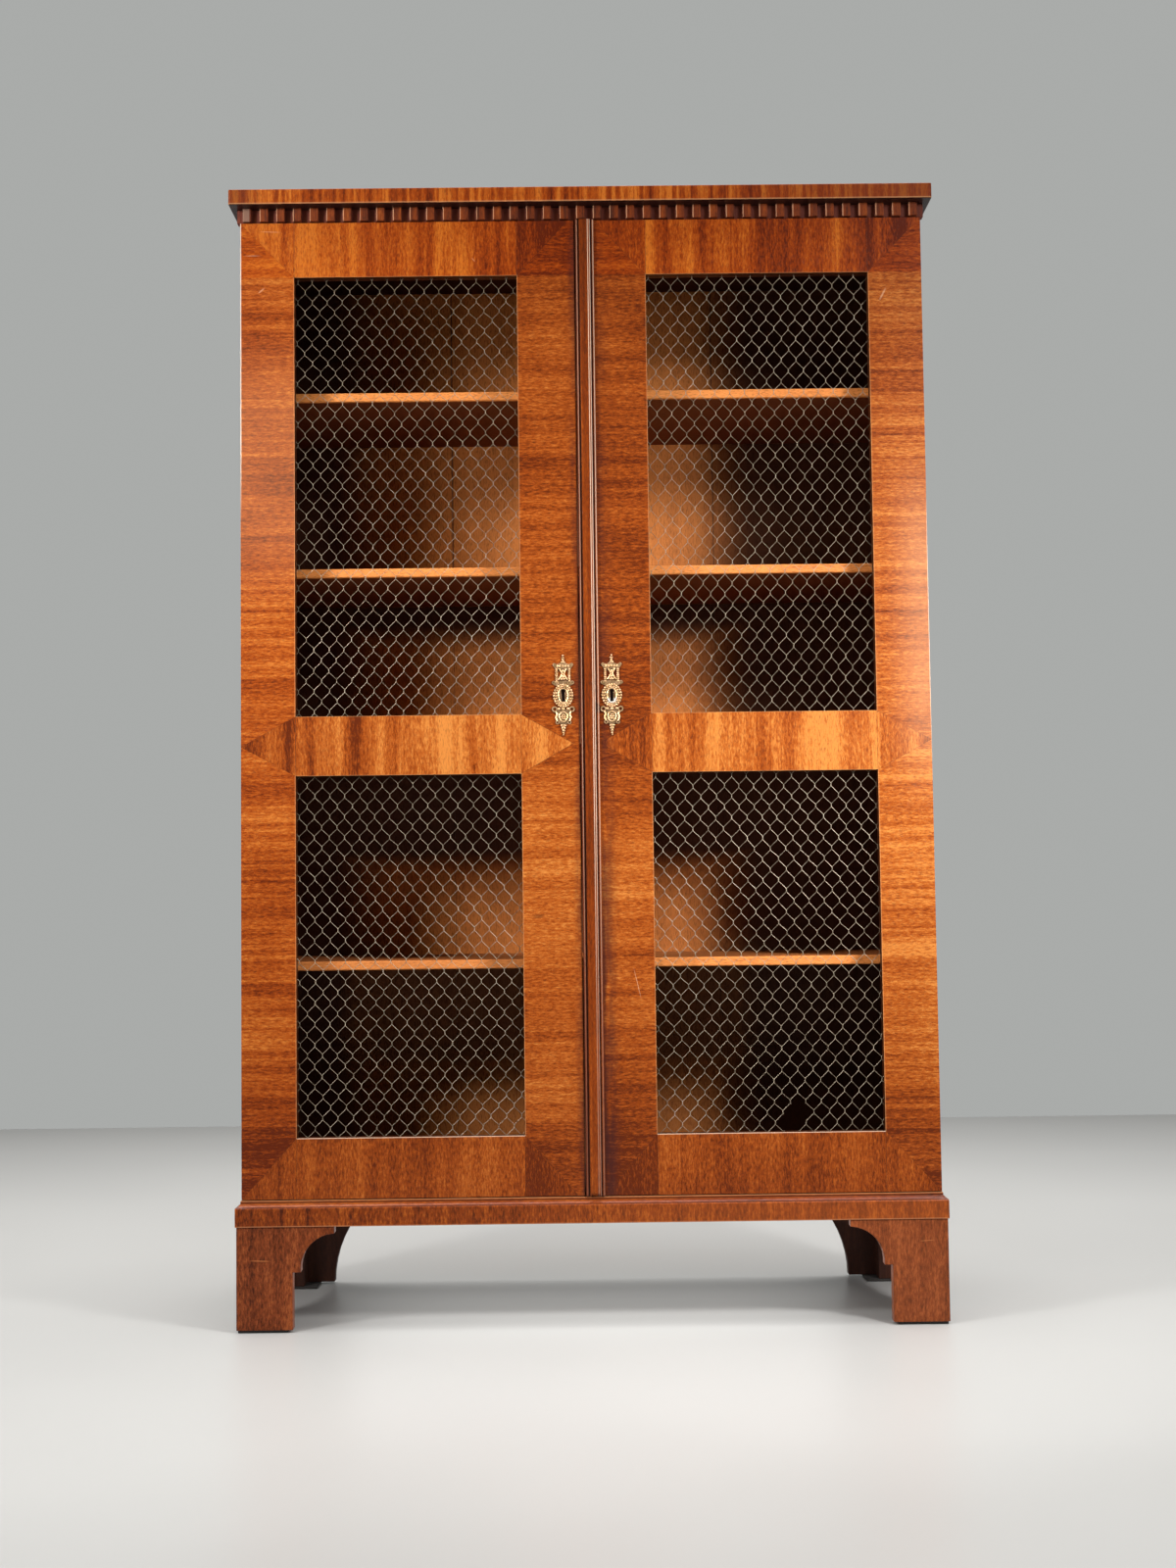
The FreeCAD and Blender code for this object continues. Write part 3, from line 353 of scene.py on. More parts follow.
POLISHED = {"Coat Weight": 0.06, "Coat Roughness": 0.10, "Specular IOR Level": 0.15}
DRY = {"Specular IOR Level": 0.25}
GOLDEN = ((0.1, (0.1, 0.014, 0.001)), (0.4, (0.27, 0.05, 0.004)), (0.62, (0.39, 0.095, 0.012)),
          (0.9, (0.56, 0.195, 0.038)))
RUSSET = ((0.1, (0.052, 0.008, 0.0006)), (0.42, (0.16, 0.025, 0.0016)), (0.65, (0.232, 0.042, 0.003)),
          (0.92, (0.36, 0.084, 0.009)))
print("timber recipe ready")

# %% [markdown]
# ## Crossbanded doors
# On the doors the veneer is laid with its grain across each stile and rail, and the leaves meet in mitres at
# every corner. The middle rails end in points that run into the stiles. Each leaf could be a thin piece of
# its own, but its edges would show as steps. Here all of them are one mask, worked out from how far a point
# lies outside the opening, so it needs no picture and fits both doors.

# %% Where each leaf of veneer lies
rail_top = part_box("left_top_rail")
rail_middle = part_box("left_middle_rail")
rail_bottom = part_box("left_bottom_rail")
hinge_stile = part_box("left_hinge_stile")
OPENING_OUT = -rail_top[0].x
OPENING_IN = -rail_top[1].x
HINGE_WIDTH = hinge_stile[1].x - hinge_stile[0].x
MEETING_WIDTH = 0.0855
DOOR_FRONT = hinge_stile[0].y
DOOR_BACK = hinge_stile[1].y

veneer = Finish("crossbanded_mahogany", POLISHED)
x, y, z = veneer.x, veneer.y, veneer.z
away = abs(x)
outer = (away - OPENING_OUT).larger(0.0) / HINGE_WIDTH
inner = (OPENING_IN - away).larger(0.0) / MEETING_WIDTH
share = outer + inner
over_top = (z - rail_top[0].z) - share * (rail_top[1].z - rail_top[0].z)
under_bottom = (rail_bottom[1].z - z) - share * (rail_bottom[1].z - rail_bottom[0].z)
half_middle = (rail_middle[1].z - rail_middle[0].z) / 2
middle_z = (rail_middle[1].z + rail_middle[0].z) / 2
in_middle = (1.0 - share) * half_middle - abs(z - middle_z)
into_rail = over_top.larger(under_bottom).larger(in_middle)
is_rail = into_rail > 0.0
is_right = x > 0.0
is_left = 1.0 - is_right
is_inner = inner > 0.0
is_low = z < rail_bottom[1].z + 0.02
is_mid = in_middle > 0.0
print(f"mitred veneer from {OPENING_IN:.3f} to {OPENING_OUT:.3f} m each side")

# %% [markdown]
# ## Tone, joints and wear of the doors
# Each leaf of veneer was cut from its own piece of wood. Every leaf could have its own material, but a mitre
# runs across two boards, so one material covers them all, and `lift` moves each leaf up or down the row of
# tones, for some of them along their length too. Besides each leaf's own tone, `lift` holds painted light and
# shade by height and along the rails. Over the colour come thin dark joints, pale edges that are partly worn
# and partly painted highlight, a painted sheen on the outer stiles, dirt and painted shade along the meeting
# stiles, painted shade on the inner edges of the frames, and a few scratches.

# %% Veneer, joints, wear and painted light
along = x + is_rail * (z - x)
across = z + is_rail * (x - z)
leaf = is_rail * 3.7 + is_right * 5.3 + is_inner * 2.9 + is_mid * 4.1
is_top = z > rail_top[0].z
mild = 1.0 - is_inner * 0.30 + is_rail * (0.60 - is_low * 1.00)
ripple = 0.012 + is_rail * 0.016
is_stile = 1.0 - is_rail
is_outer = 1.0 - is_inner
hand = is_right * 2.0 - 1.0
# Besides each leaf's own tone, these lifts hold painted light and shade: lighter middle rails, darker bottom
# rails and right top rail, rails lighter or darker along their length, and stiles lighter or darker by
# height.
lift = is_mid * (0.18 - share * 0.22) - is_low * 0.15 + is_top * (0.04 - is_right * 0.09)
lift = lift - is_inner * (0.13 + is_right * 0.08)
fall = is_top * (1.2 - is_right * 2.2) - is_mid * is_left * 1.1
lift = lift + is_rail * fall * (away - 0.27)
lift = lift + is_stile * is_top * hand * (is_inner * 2.0 - 1.0) * 0.15
inner_painted_light = z.rise(0.95, 0.80) * (0.45 + z.rise(0.60, 0.74) * 0.60) * z.rise(0.26, 0.44)
outer_painted_light = z.rise(0.94, 0.86) * z.rise(0.62, 0.78) * 0.12 + z.rise(1.0, 0.5) * z.rise(0.30, 0.44) * 0.09 + 0.04
on_inner = inner_painted_light * (1.0 - is_right * z.rise(0.76, 0.84) * 0.8) * 0.26 + z.rise(1.2, 1.6) * 0.03
on_outer = is_right * outer_painted_light - z.rise(0.50, 0.34) * 0.18 - z.rise(1.2, 1.6) * 0.05
lift = lift + is_stile * (is_inner * on_inner + is_outer * on_outer)
colour, rough, height = timber(along, across + leaf, y, GOLDEN, mild, 1.6, ripple, leaf, lift)
redder = is_top * 0.7 + is_outer * is_stile * is_left * 0.3
colour = redder.smaller(0.8).over(colour, (1.0, 0.64, 0.10, 1), "MULTIPLY")

joint = line(into_rail, 0.0, 1.1) * (0.45 - is_outer * 0.2)
butt = line(away, OPENING_IN / MM, 0.9).larger(line(away, OPENING_OUT / MM, 0.9)) * is_rail * 0.35
colour = joint.larger(butt).over(colour, (0.06, 0.015, 0.004, 1))
beside_opening = share < 0.001
edges = (rail_top[0].z, rail_middle[1].z, rail_middle[0].z, rail_bottom[1].z)
# Pale lines on the arrises beside the openings: partly wear, partly painted highlight.
rim = any_of(*(line(z, edge / MM, 1.3) for edge in edges)) * beside_opening
rim = rim.larger(line(share, 0.008 / MM, 0.012 / MM) * is_stile)
colour = (rim * 0.35).over(colour, (0.62, 0.30, 0.12, 1))

# Painted sheen: a milky reflection of the lamps on the outer stiles, near the right edge at mid-height and
# higher up on the left.
painted_sheen = is_right * x.rise(0.485, 0.560) * line(z, 1130.0, 330.0) * 0.22
painted_sheen = painted_sheen + is_left * is_stile * line(z, 1400.0, 260.0) * 0.10
colour = (painted_sheen * is_outer).over(colour, (0.80, 0.45, 0.26, 1))
# A pale line along the top edge of each bottom rail: partly wear, partly painted highlight.
ledge = line(z, rail_bottom[1].z / MM, 1.5) * beside_opening
colour = (ledge * 0.6).over(colour, (0.90, 0.66, 0.50, 1))
# Painted highlights along the outer edges of the doors.
gleam = line(x, -564.4, 1.4) * z.rise(1.30, 1.45) + line(x, 564.5, 1.0) * line(z, 1130.0, 260.0) * 0.6
colour = (gleam * (y < DOOR_FRONT + 0.0009) * 0.7).over(colour, (0.90, 0.76, 0.62, 1))
dirt = x.noise(x * 60, y, z * 9, 3.0)
# Dirt and painted shade beside the astragal on both doors, stronger low down on the right.
grime_and_shade = (x - 0.0205).rise(0.034, 0.002) * is_right * (1.15 - z * 0.55)
grime_and_shade = grime_and_shade + (x + 0.0115).rise(-0.016, 0.0) * is_left * 0.6
colour = (grime_and_shade * dirt.rise(0.30, 0.62)).smaller(0.8).over(colour, (0.045, 0.010, 0.008, 1))
SCRATCHES = ((77.7, 549.8, -77, 30, 0.8), (-178.5, 1748.9, -50, 5, 1.0), (-515, 1799, -2, 20, 0.8),
             (-545, 1759, 0, 16, 0.8), (500, 1684, 62, 14, 2.0), (-530, 1700, 40, 8, 1.6))
scratched = any_of(*(mark(veneer, *stroke) for stroke in SCRATCHES))
colour = (scratched * 0.5).over(colour, (0.66, 0.38, 0.22, 1))
colour = (mark(veneer, -81, 660.5, 8, 11, 4.2) * 0.6).over(colour, (0.10, 0.025, 0.006, 1))

DARK = ((0.1, (0.048, 0.008, 0.001)), (0.42, (0.145, 0.028, 0.005)), (0.65, (0.204, 0.042, 0.009)),
        (0.92, (0.31, 0.078, 0.019)))
# Painted shade: the edges behind the front face, in the openings, rebates and keyholes, are dark brown.
behind = (y - DOOR_FRONT).rise(0.0008, 0.0016) * (away < 0.55)
colour = behind.over(colour, (0.050, 0.014, 0.005, 1))
colour = (y > DOOR_BACK - 0.0006).over(colour, timber(z, x, y, DARK)[0])
door_veneer = veneer.set(colour, rough, height)
print("doors veneered")

# %% [markdown]
# ## Other finishes
# The other boards use the same recipe with their own tones, and each gets the marks of its place: a pale line
# where the cornice's edge has worn, also a painted highlight, painted shade in the grooves of the mouldings
# and under the cornice, painted highlights on arrises, painted light on the right of the base and feet, dark
# inner faces that are partly plain wood and partly painted shade, and painted shadows on the back boards and
# below the shelves. Such marks could be painted by hand, but a mask is a number that can be read and changed.

# %% A plank, and wear and painted light on the outside


def plank(name, run, tones, look=POLISHED, touch=None, **recipe):
    """Wood with its grain along X, Y or Z, and a touch over it that adds marks and painted light."""
    made = Finish(name, look)
    order = {"x": (made.x, made.z, made.y), "y": (made.y, made.x, made.z), "z": (made.z, made.x, made.y)}
    colour, rough, height = timber(*order[run], tones, **recipe)
    if look is DRY:
        rough = rough + 0.3
    if touch:
        colour = touch(made, colour)
    return made.set(colour, rough, height)


def cornice_wear_and_shade(made, colour):
    low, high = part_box("cornice_board")
    colour = colour.node("Mix", {"data_type": "RGBA", "blend_type": "MULTIPLY"},
                         {0: 1.0, 6: colour, 7: (0.95, 0.74, 0.43, 1)}, output=2)
    # Darker at the left end and towards the right end.
    ends = made.x.rise(-0.520, -0.560) * 0.55 + made.x.rise(0.050, 0.575) * 0.60
    colour = ends.over(colour, (0.110, 0.016, 0.006, 1))
    # A pale line on the lower front edge: partly wear, partly painted highlight.
    colour = (line(made.z, low.z / MM + 1.5, 1.6) * 0.45).over(colour, (0.62, 0.34, 0.16, 1))
    colour = (made.z > high.z - 0.0008).over(colour, timber(made.x, made.y, made.z, RUSSET, lift=0.1)[0])
    # Painted shade: the underside is nearly black.
    return (made.z < low.z + 0.0006).over(colour, (0.025, 0.007, 0.005, 1))


def dentils_with_painted_light(made, colour):
    low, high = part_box("front_dentils")
    face = low.y
    step = (high.x - low.x - DENTIL) / (FRONT_DENTILS - 1)
    # The frieze set back between the dentils is a darker purple-brown.
    colour = ((made.y - face).rise(0.002, 0.006) * 0.8).over(colour, (0.150, 0.034, 0.022, 1))
    # Painted highlight on the left arris of each dentil.
    on_tooth = made.x.maths("MODULO", made.x - low.x, step)
    left_arris = line(on_tooth, 0.9, 1.2) * (made.y < face + 0.002)
    colour = (left_arris * 0.6).over(colour, (0.80, 0.42, 0.24, 1))
    # Painted sheen: the dentils at the left front corner are greyish pink.
    corner = (made.x < -0.549) * (made.y < face + 0.004)
    return (corner * 0.8).over(colour, (0.24, 0.14, 0.10, 1))


def base_wear_and_painted_light(made, colour):
    # Painted light: the base grows lighter towards the right.
    colour = (made.x.rise(-0.5, 0.6) * 0.22).over(colour, (0.52, 0.13, 0.03, 1))
    return (line(made.z, 168.4, 1.4) * 0.5).over(colour, (0.50, 0.22, 0.10, 1))


def lined_moulding(made, colour):
    # Painted shade at the top of the hollow and along the foot of the moulding.
    dark = line(made.z, 205.4, 1.6).larger(line(made.z, 198.2, 1.2)) * 0.75
    colour = dark.over(colour, (0.040, 0.010, 0.005, 1))
    # Painted highlight on the fillet.
    return (line(made.z, 208.0, 1.0) * 0.5).over(colour, (0.58, 0.28, 0.13, 1))


def scratched_foot_with_painted_light(made, colour):
    left = mark(made, -534, 114, -2, 20, 1.3)
    right = mark(made, 538, 133, 3, 14, 1.0)
    # Painted light: the feet on the right are lighter.
    colour = ((made.x > 0.0) * 0.12).over(colour, (0.52, 0.15, 0.05, 1))
    return (left.larger(right) * 0.6).over(colour, (0.50, 0.17, 0.05, 1))


def banded_astragal(made, colour):
    # Painted shade in the two grooves and at the left edge.
    grooves = any_of(*(line(made.x, *groove) for groove in ((-4.2, 1.6), (16.4, 1.5), (-9.5, 1.0))))
    colour = (line(made.x, -7.5, 3.5) * 0.5).over(colour, (0.090, 0.016, 0.006, 1))
    colour = grooves.over(colour, (0.040, 0.010, 0.007, 1))
    smudge = line(made.x, 20.0, 6.0) * line(made.z, 1000.0, 12.0) * 0.8
    colour = smudge.over(colour, (0.020, 0.006, 0.005, 1))
    # Painted highlights on the arrises, stronger higher up.
    arrises = ((11.2, 1.0, 1.0), (14.4, 1.1, 1.0), (19.8, 1.2, 0.7), (-7.0, 0.8, 0.5))
    pale = any_of(*(line(made.x, place, wide) * strength for place, wide, strength in arrises))
    return (pale * (0.2 + made.z.rise(0.4, 1.0) * 0.5)).over(colour, (0.85, 0.62, 0.46, 1))


# The touches above hold wear and painted light.
print("outside wear and painted light ready")

# %% Dark inner faces and painted shade on the inside


def dark_inside(made, colour):
    # Inner faces of the sides and the netting beads: partly the plain wood inside, partly painted shade.
    return (abs(made.x) < 0.5458).over(colour, (0.075, 0.020, 0.008, 1))


def dark_corners(made, colour):
    # Painted shade on the back boards: darker at both ends, in a strip behind the meeting stiles, low down
    # and in bands under the shelves. The seams are the real vees between the planks.
    ends = made.x.rise(-0.33, -0.47) + made.x.rise(0.17, 0.32)
    dark = [ends, line(made.x, -11.8, 6.0), made.z.rise(0.60, 0.40) * 0.40]
    for shelf, low, high, strength in ((2, 1.14, 1.20, 1.0), (3, 0.73, 0.78, 1.0), (4, 0.36, 0.41, 0.75)):
        under = made.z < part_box(f"shelf_{shelf}")[0].z
        dark.append(made.z.rise(low, high) * under * strength)
    inside = made.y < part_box("back_boards")[0].y + 0.001
    seams = line(made.x, 0.0, 2.0).larger(line(abs(made.x), PLANK / MM, 2.0))
    seams = seams * (0.15 + made.z.rise(1.1, 1.3) * 0.65)
    return (any_of(*dark) * inside * 0.93).larger(seams).over(colour, (0.040, 0.010, 0.004, 1))


def dark_below(made, colour):
    # Painted shade on the shelves: on the left of the lowest shelf, behind the front edge, and most on the
    # undersides.
    under = any_of(*(line(made.z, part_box(f"shelf_{index}")[0].z / MM, 3.0) for index in range(1, 5)))
    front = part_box("shelf_1")[0].y
    colour = ((made.z < 0.7) * made.x.rise(0.1, -0.1) * 0.4).over(colour, (0.400, 0.120, 0.028, 1))
    colour = ((made.y - front).rise(0.004, 0.012) * 0.75).over(colour, (0.210, 0.056, 0.013, 1))
    return (under * (made.y > front + 0.007)).over(colour, (0.150, 0.036, 0.009, 1))


# These hold dark inner faces and painted shade.
print("inside marks and painted shade ready")

# %% The woods
# Painted shade: near-black tones for the rear feet, the foot blocks and the carcass top and bottom.
SHADE_TONES = ((0.1, (0.014, 0.004, 0.002)), (0.45, (0.04, 0.011, 0.005)), (0.9, (0.085, 0.025, 0.011)))
TAN = ((0.1, (0.33, 0.098, 0.018)), (0.45, (0.56, 0.176, 0.035)), (0.7, (0.66, 0.218, 0.046)),
       (0.92, (0.76, 0.273, 0.062)))
PALE = ((0.1, (0.46, 0.135, 0.026)), (0.45, (0.76, 0.25, 0.056)), (0.7, (0.85, 0.305, 0.074)),
        (0.92, (0.93, 0.37, 0.1)))
cornice_veneer = plank("cornice_crossband", "z", GOLDEN, touch=cornice_wear_and_shade,
                       width=0.011, shift=1.3, ribbon=2.0, lift=0.05)
base_veneer = plank("base_crossband", "z", RUSSET, touch=base_wear_and_painted_light,
                    width=0.012, shift=2.1, ribbon=0.9, lines=2.4)
dentil_wood = plank("dentil_mahogany", "z", RUSSET, DRY, touch=dentils_with_painted_light,
                    width=0.012, shift=3.3, ribbon=1.5, lift=-0.06)
moulding_wood = plank("moulding_mahogany", "x", RUSSET, touch=lined_moulding, shift=4.2, lift=0.05)
foot_wood = plank("foot_mahogany", "z", DARK, touch=scratched_foot_with_painted_light,
                  width=0.020, shift=5.5, lines=2.4, lift=0.05)
shaded_rear_wood = plank("shaded_rear_foot_wood", "z", SHADE_TONES, DRY, width=0.030, shift=5.9)
bead_wood = plank("astragal_mahogany", "z", RUSSET, touch=banded_astragal, width=0.010, shift=6.1, lift=0.03)
side_veneer = plank("side_veneer", "z", RUSSET, touch=dark_inside, width=0.060, shift=7.7)
inside_wood = plank("inside_boards", "z", TAN, DRY, touch=dark_corners,
                    width=0.045, ribbon=0.6, lines=0.7, shift=8.4)
shaded_wood = plank("shaded_boards", "x", SHADE_TONES, DRY, width=0.045, ribbon=0.6, shift=8.8)
shelf_wood = plank("shelf_boards", "x", PALE, DRY, touch=dark_below, width=0.030, ribbon=0.6, shift=9.2)
print("wood finishes ready")

# %% [markdown]
# ## Metals, pads and the floor
# Netting, escutcheons, bolts and lock are brass or steel that has gone dull. One even metal would look new,
# so they share a second recipe, in which clouds of tarnish and small pits break up the shine. The low parts
# of the gilt plates are darker, partly tarnish where no cloth reaches it and partly painted shade. Pads and
# floor need only a little noise.

# %% Metals, pads and floor


def metal(name, dark, bright, rough, scale, purity=1.0, touch=None):
    """Metal with clouds of tarnish and small pits; less purity makes it less like a mirror."""
    made = Finish(name, {"Metallic": purity})
    cloud = made.x.noise(made.x * scale, made.y * scale, made.z * scale, 4.0, 0.65)
    pits = made.x.noise(made.x * scale * 14, made.y * scale * 14, made.z * scale * 14, 2.0)
    colour = cloud.rise(0.35, 0.65).over((*dark, 1), (*bright, 1))
    if touch:
        colour = touch(made, colour)
    return made.set(colour, rough + (cloud - 0.5) * 0.3, pits, 0.00006)


def tarnished_and_shaded(made, colour):
    # The low parts of the plate are darker: partly tarnish, partly painted shade.
    deep = (made.y - DOOR_FRONT).rise(-0.0026, -0.0012)
    colour = (deep * 0.85).over(colour, (0.090, 0.040, 0.014, 1))
    bare = (made.x > 0.0) * line(made.z, 1011.5, 6.0) * line(made.x, 42.0, 10.0)
    return (bare * 0.8).over(colour, (0.55, 0.54, 0.50, 1))


wire_brass = metal("netting_wire", (0.19, 0.148, 0.098), (0.40, 0.328, 0.235), 0.50, 90, 0.35)
gilt_brass = metal("gilt_brass", (0.43, 0.26, 0.11), (0.75, 0.47, 0.26), 0.40, 220, 0.75, tarnished_and_shaded)
plain_brass = metal("plain_brass", (0.40, 0.27, 0.11), (0.62, 0.46, 0.20), 0.36, 60)
lock_steel = metal("lock_steel", (0.22, 0.22, 0.22), (0.42, 0.42, 0.41), 0.40, 60)

felt = Finish("foot_pad")
weave = felt.x.noise(felt.x * 900, felt.y * 900, felt.z * 900, 3.0)
black = weave.tones((0.3, (0.012, 0.010, 0.009)), (0.7, (0.045, 0.038, 0.033)))
pad_black = felt.set(black, 0.75 + weave * 0.2, weave)

pale = Finish("pale_floor", {"Specular IOR Level": 0.35})
drift = pale.x.noise(pale.x * 0.8, pale.y * 0.8, 0.0, 3.0)
paint = drift.tones((0.3, (0.41, 0.405, 0.390)), (0.7, (0.45, 0.445, 0.428)))
floor.data.materials.append(pale.set(paint, 0.28 + drift * 0.12))
print(f"{len(bpy.data.materials)} materials")

# %% [markdown]
# ## Making boards by hand
# Most of the cabinet is boards. Each is a cube at the size and place of its solid, whose arrises are then
# eased with a bevel, because a dead sharp edge never catches the light as real wood does. Rebates and
# housings are cut with a Boolean modifier, as a router would cut them. Pieces with a shaped outline start as
# a flat face that is pulled to its thickness.

# %% Helpers for boards and plates


def active(piece):
    """Select one object alone and make it active."""
    bpy.ops.object.select_all(action="DESELECT")
    piece.select_set(True)
    bpy.context.view_layer.objects.active = piece


@contextmanager
def editing(piece):
    """Edit mode on one piece, with all of its mesh selected."""
    active(piece)
    bpy.ops.object.mode_set(mode="EDIT")
    bpy.ops.mesh.select_all(action="SELECT")
    yield
    bpy.ops.object.mode_set(mode="OBJECT")


def block(name, low, high):
    """A cube at its size and place."""
    low, high = Vector(low), Vector(high)
    bpy.ops.object.select_all(action="DESELECT")
    bpy.ops.mesh.primitive_cube_add(size=1, location=(low + high) / 2, scale=high - low)
    piece = bpy.context.object
    piece.name = name
    bpy.ops.object.transform_apply()
    return piece


def plate(name, outline, axis, low, high):
    """A flat outline across one axis, pulled along that axis from low to high."""
    bpy.ops.object.select_all(action="DESELECT")
    bpy.ops.mesh.primitive_circle_add(vertices=len(outline), fill_type="NGON")
    piece = bpy.context.object
    piece.name = name
    depth = "xyz".index(axis)
    first, second = (index for index in range(3) if index != depth)
    for corner, place in zip(piece.data.vertices, outline):
        corner.co[depth] = low
        corner.co[first], corner.co[second] = place
    pull = Vector((0, 0, 0))
    pull[depth] = high - low
    with editing(piece):
        bpy.ops.mesh.extrude_region_move(TRANSFORM_OT_translate={"value": pull})
        bpy.ops.mesh.select_all(action="SELECT")
        bpy.ops.mesh.normals_make_consistent(inside=False)
    return piece


def arc(start, end, centre, count=10):
    """Points on an arc from start to end about a centre, the shorter way round."""
    start, end, centre = Vector(start), Vector(end), Vector(centre)
    turn = (start - centre).angle_signed(end - centre)
    spokes = [Matrix.Rotation(-turn * index / count, 2) @ (start - centre) for index in range(count + 1)]
    return [tuple(centre + spoke) for spoke in spokes]


print("boards and plates can be made")

# %% Easing, cutting and copying


def ease(piece, width, chosen=None, segments=2):
    """Bevel the edges that a test on their two ends picks out, or all of them."""
    with editing(piece):
        bpy.ops.mesh.select_mode(type="EDGE")
        bpy.ops.mesh.select_all(action="DESELECT")
        mesh = bmesh.from_edit_mesh(piece.data)
        for edge in mesh.edges:
            sharp = edge.calc_face_angle(0) > math.radians(25)
            edge.select_set(sharp and (chosen is None or chosen(*(corner.co for corner in edge.verts))))
        bmesh.update_edit_mesh(piece.data)
        bpy.ops.mesh.bevel(offset=width, segments=segments, affect="EDGES", clamp_overlap=True)
    return piece


def modified(piece, kind, **settings):
    """Add a modifier, set it and apply it."""
    active(piece)
    modifier = piece.modifiers.new(kind, kind)
    for key, setting in settings.items():
        setattr(modifier, key, setting)
    bpy.ops.object.modifier_apply(modifier=modifier.name)


def carve(piece, *cutters):
    """Cut shapes out of a piece."""
    for cutter in cutters:
        modified(piece, "BOOLEAN", operation="DIFFERENCE", object=cutter)
        bpy.data.objects.remove(cutter)
    return piece


def join(name, pieces):
    """Make one object of several."""
    active(pieces[0])
    for piece in pieces:
        piece.select_set(True)
    bpy.ops.object.join()
    made = bpy.context.object
    made.name = name
    return made


def copy(piece, place):
    """A copy with a mesh of its own, moved by a matrix."""
    made = added(piece.name, piece.data.copy())
    made.data.transform(place)
    return made


print("they can be eased, cut and copied")

# %% Seating a piece on its body


def seat(piece, finish, *nodes, angle=35):
    """Give a piece its finish and put it in the place of its solids."""
    active(piece)
    bpy.ops.object.shade_smooth_by_angle(angle=math.radians(angle))
    modified(piece, "WEIGHTED_NORMAL", keep_sharp=True)
    piece.data.materials.clear()
    piece.data.materials.append(finish)
    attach(piece, frame["nodes"][nodes[0]]["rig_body"])
    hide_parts(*nodes)
    return piece


def dressed(node, finish, width):
    """A copy of a solid with its loose triangles merged and its sharp edges eased."""
    piece = copy(frame["nodes"][node], Matrix())
    piece.name = f"{node}_eased"
    with editing(piece):
        bpy.ops.mesh.remove_doubles(threshold=0.00001)
        bpy.ops.mesh.dissolve_limited(angle_limit=math.radians(1))
    modified(piece, "BEVEL", width=width, segments=2, limit_method="ANGLE", angle_limit=math.radians(40))
    return seat(piece, finish, node)


def grown(low, high, x=0.0, y=0.0, z=0.0):
    """A box grown by so many millimetres on every side."""
    more = Vector((x, y, z)) * MM
    return low - more, high + more


print("pieces can be seated")

# %% [markdown]
# ## Carcass and shelves
# The sides are rebated at the back for the upright back boards, which are four planks with a fine vee where
# they meet. One wide board with painted lines would do from in front, but real planks keep their gaps from
# every side. The shelves are loose boards with a rounded front edge, so each rides on its own body and can be
# lifted off its pegs.

# %% Carcass and shelves
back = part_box("back_boards")
for node in ("left_side", "right_side"):
    side = ease(block(f"{node}_panel", *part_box(node)), 0.8 * MM)
    seat(carve(side, block("rebate", *grown(*back, y=0.5))), side_veneer, node)
for node in ("carcass_top", "carcass_bottom"):
    dressed(node, shaded_wood, 0.8 * MM)
PLANKS = (back[0].x, -PLANK, 0.0, PLANK, back[1].x)
planks = [ease(block("plank", (start, back[0].y, back[0].z), (end, back[1].y, back[1].z)), 1.1 * MM)
          for start, end in zip(PLANKS, PLANKS[1:])]
seat(join("back_planks", planks), inside_wood, "back_boards")
for index in range(1, 5):
    node = f"shelf_{index}"
    board = ease(block(f"{node}_board", *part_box(node)), 2.5 * MM, lambda a, b: max(a.y, b.y) < -0.13, 4)
    seat(ease(board, 0.6 * MM), shelf_wood, node)
for node in ("shelf_pegs", "pivot_sockets"):
    dressed(node, plain_brass, 0.3 * MM)
print(f"{len(planks)} back planks and 4 shelves")

# %% [markdown]
# ## Cornice and dentils
# The top board overhangs a rail with a row of dentils. An Array modifier could repeat one dentil, but then
# all of them would be the same. So one is made with eased arrises and copied along the rail, and every copy
# in front is a little too narrow or too far along, as hand-cut dentils are.

# %% Cornice and dentils
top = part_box("cornice_board")
board = ease(block("cornice_top", *top), 3.5 * MM, lambda a, b: abs(a.z - b.z) > 0.01, 4)
seat(ease(board, 1.6 * MM, segments=3), cornice_veneer, "cornice_board")

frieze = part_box("frieze_rail")
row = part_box("front_dentils")
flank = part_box("side_dentils")
pin_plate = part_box("right_door_pivots")


def pivot_recess(sign, low, high):
    """A cutter for the pivot plate on one side, between two heights."""
    start, end = sorted(sign * edge.x for edge in pin_plate)
    return block("recess", (start, pin_plate[0].y, low), (end, pin_plate[1].y, high))


rail = ease(block("frieze_band", *frieze), 0.4 * MM)
for sign in (-1, 1):
    rail = carve(rail, pivot_recess(sign, frieze[0].z - 1 * MM, frieze[0].z + PIVOT_PLATE))
seat(rail, dentil_wood, "frieze_rail")

chance = random.Random(7)
one = ease(block("dentil", (-DENTIL / 2, row[0].y, row[0].z), (DENTIL / 2, row[1].y, row[1].z)), 0.7 * MM)
pitch = (row[1].x - row[0].x - DENTIL) / (FRONT_DENTILS - 1)
teeth = []
for index in range(FRONT_DENTILS):
    wide = Matrix.Diagonal((chance.uniform(0.95, 1.0), 1, 1, 1))
    along = row[0].x + DENTIL / 2 + index * pitch + chance.uniform(-0.35, 0.35) * MM
    teeth.append(copy(one, Matrix.Translation((along, chance.uniform(0, 0.6) * MM, 0)) @ wide))
seat(join("front_dentil_row", teeth), dentil_wood, "front_dentils")

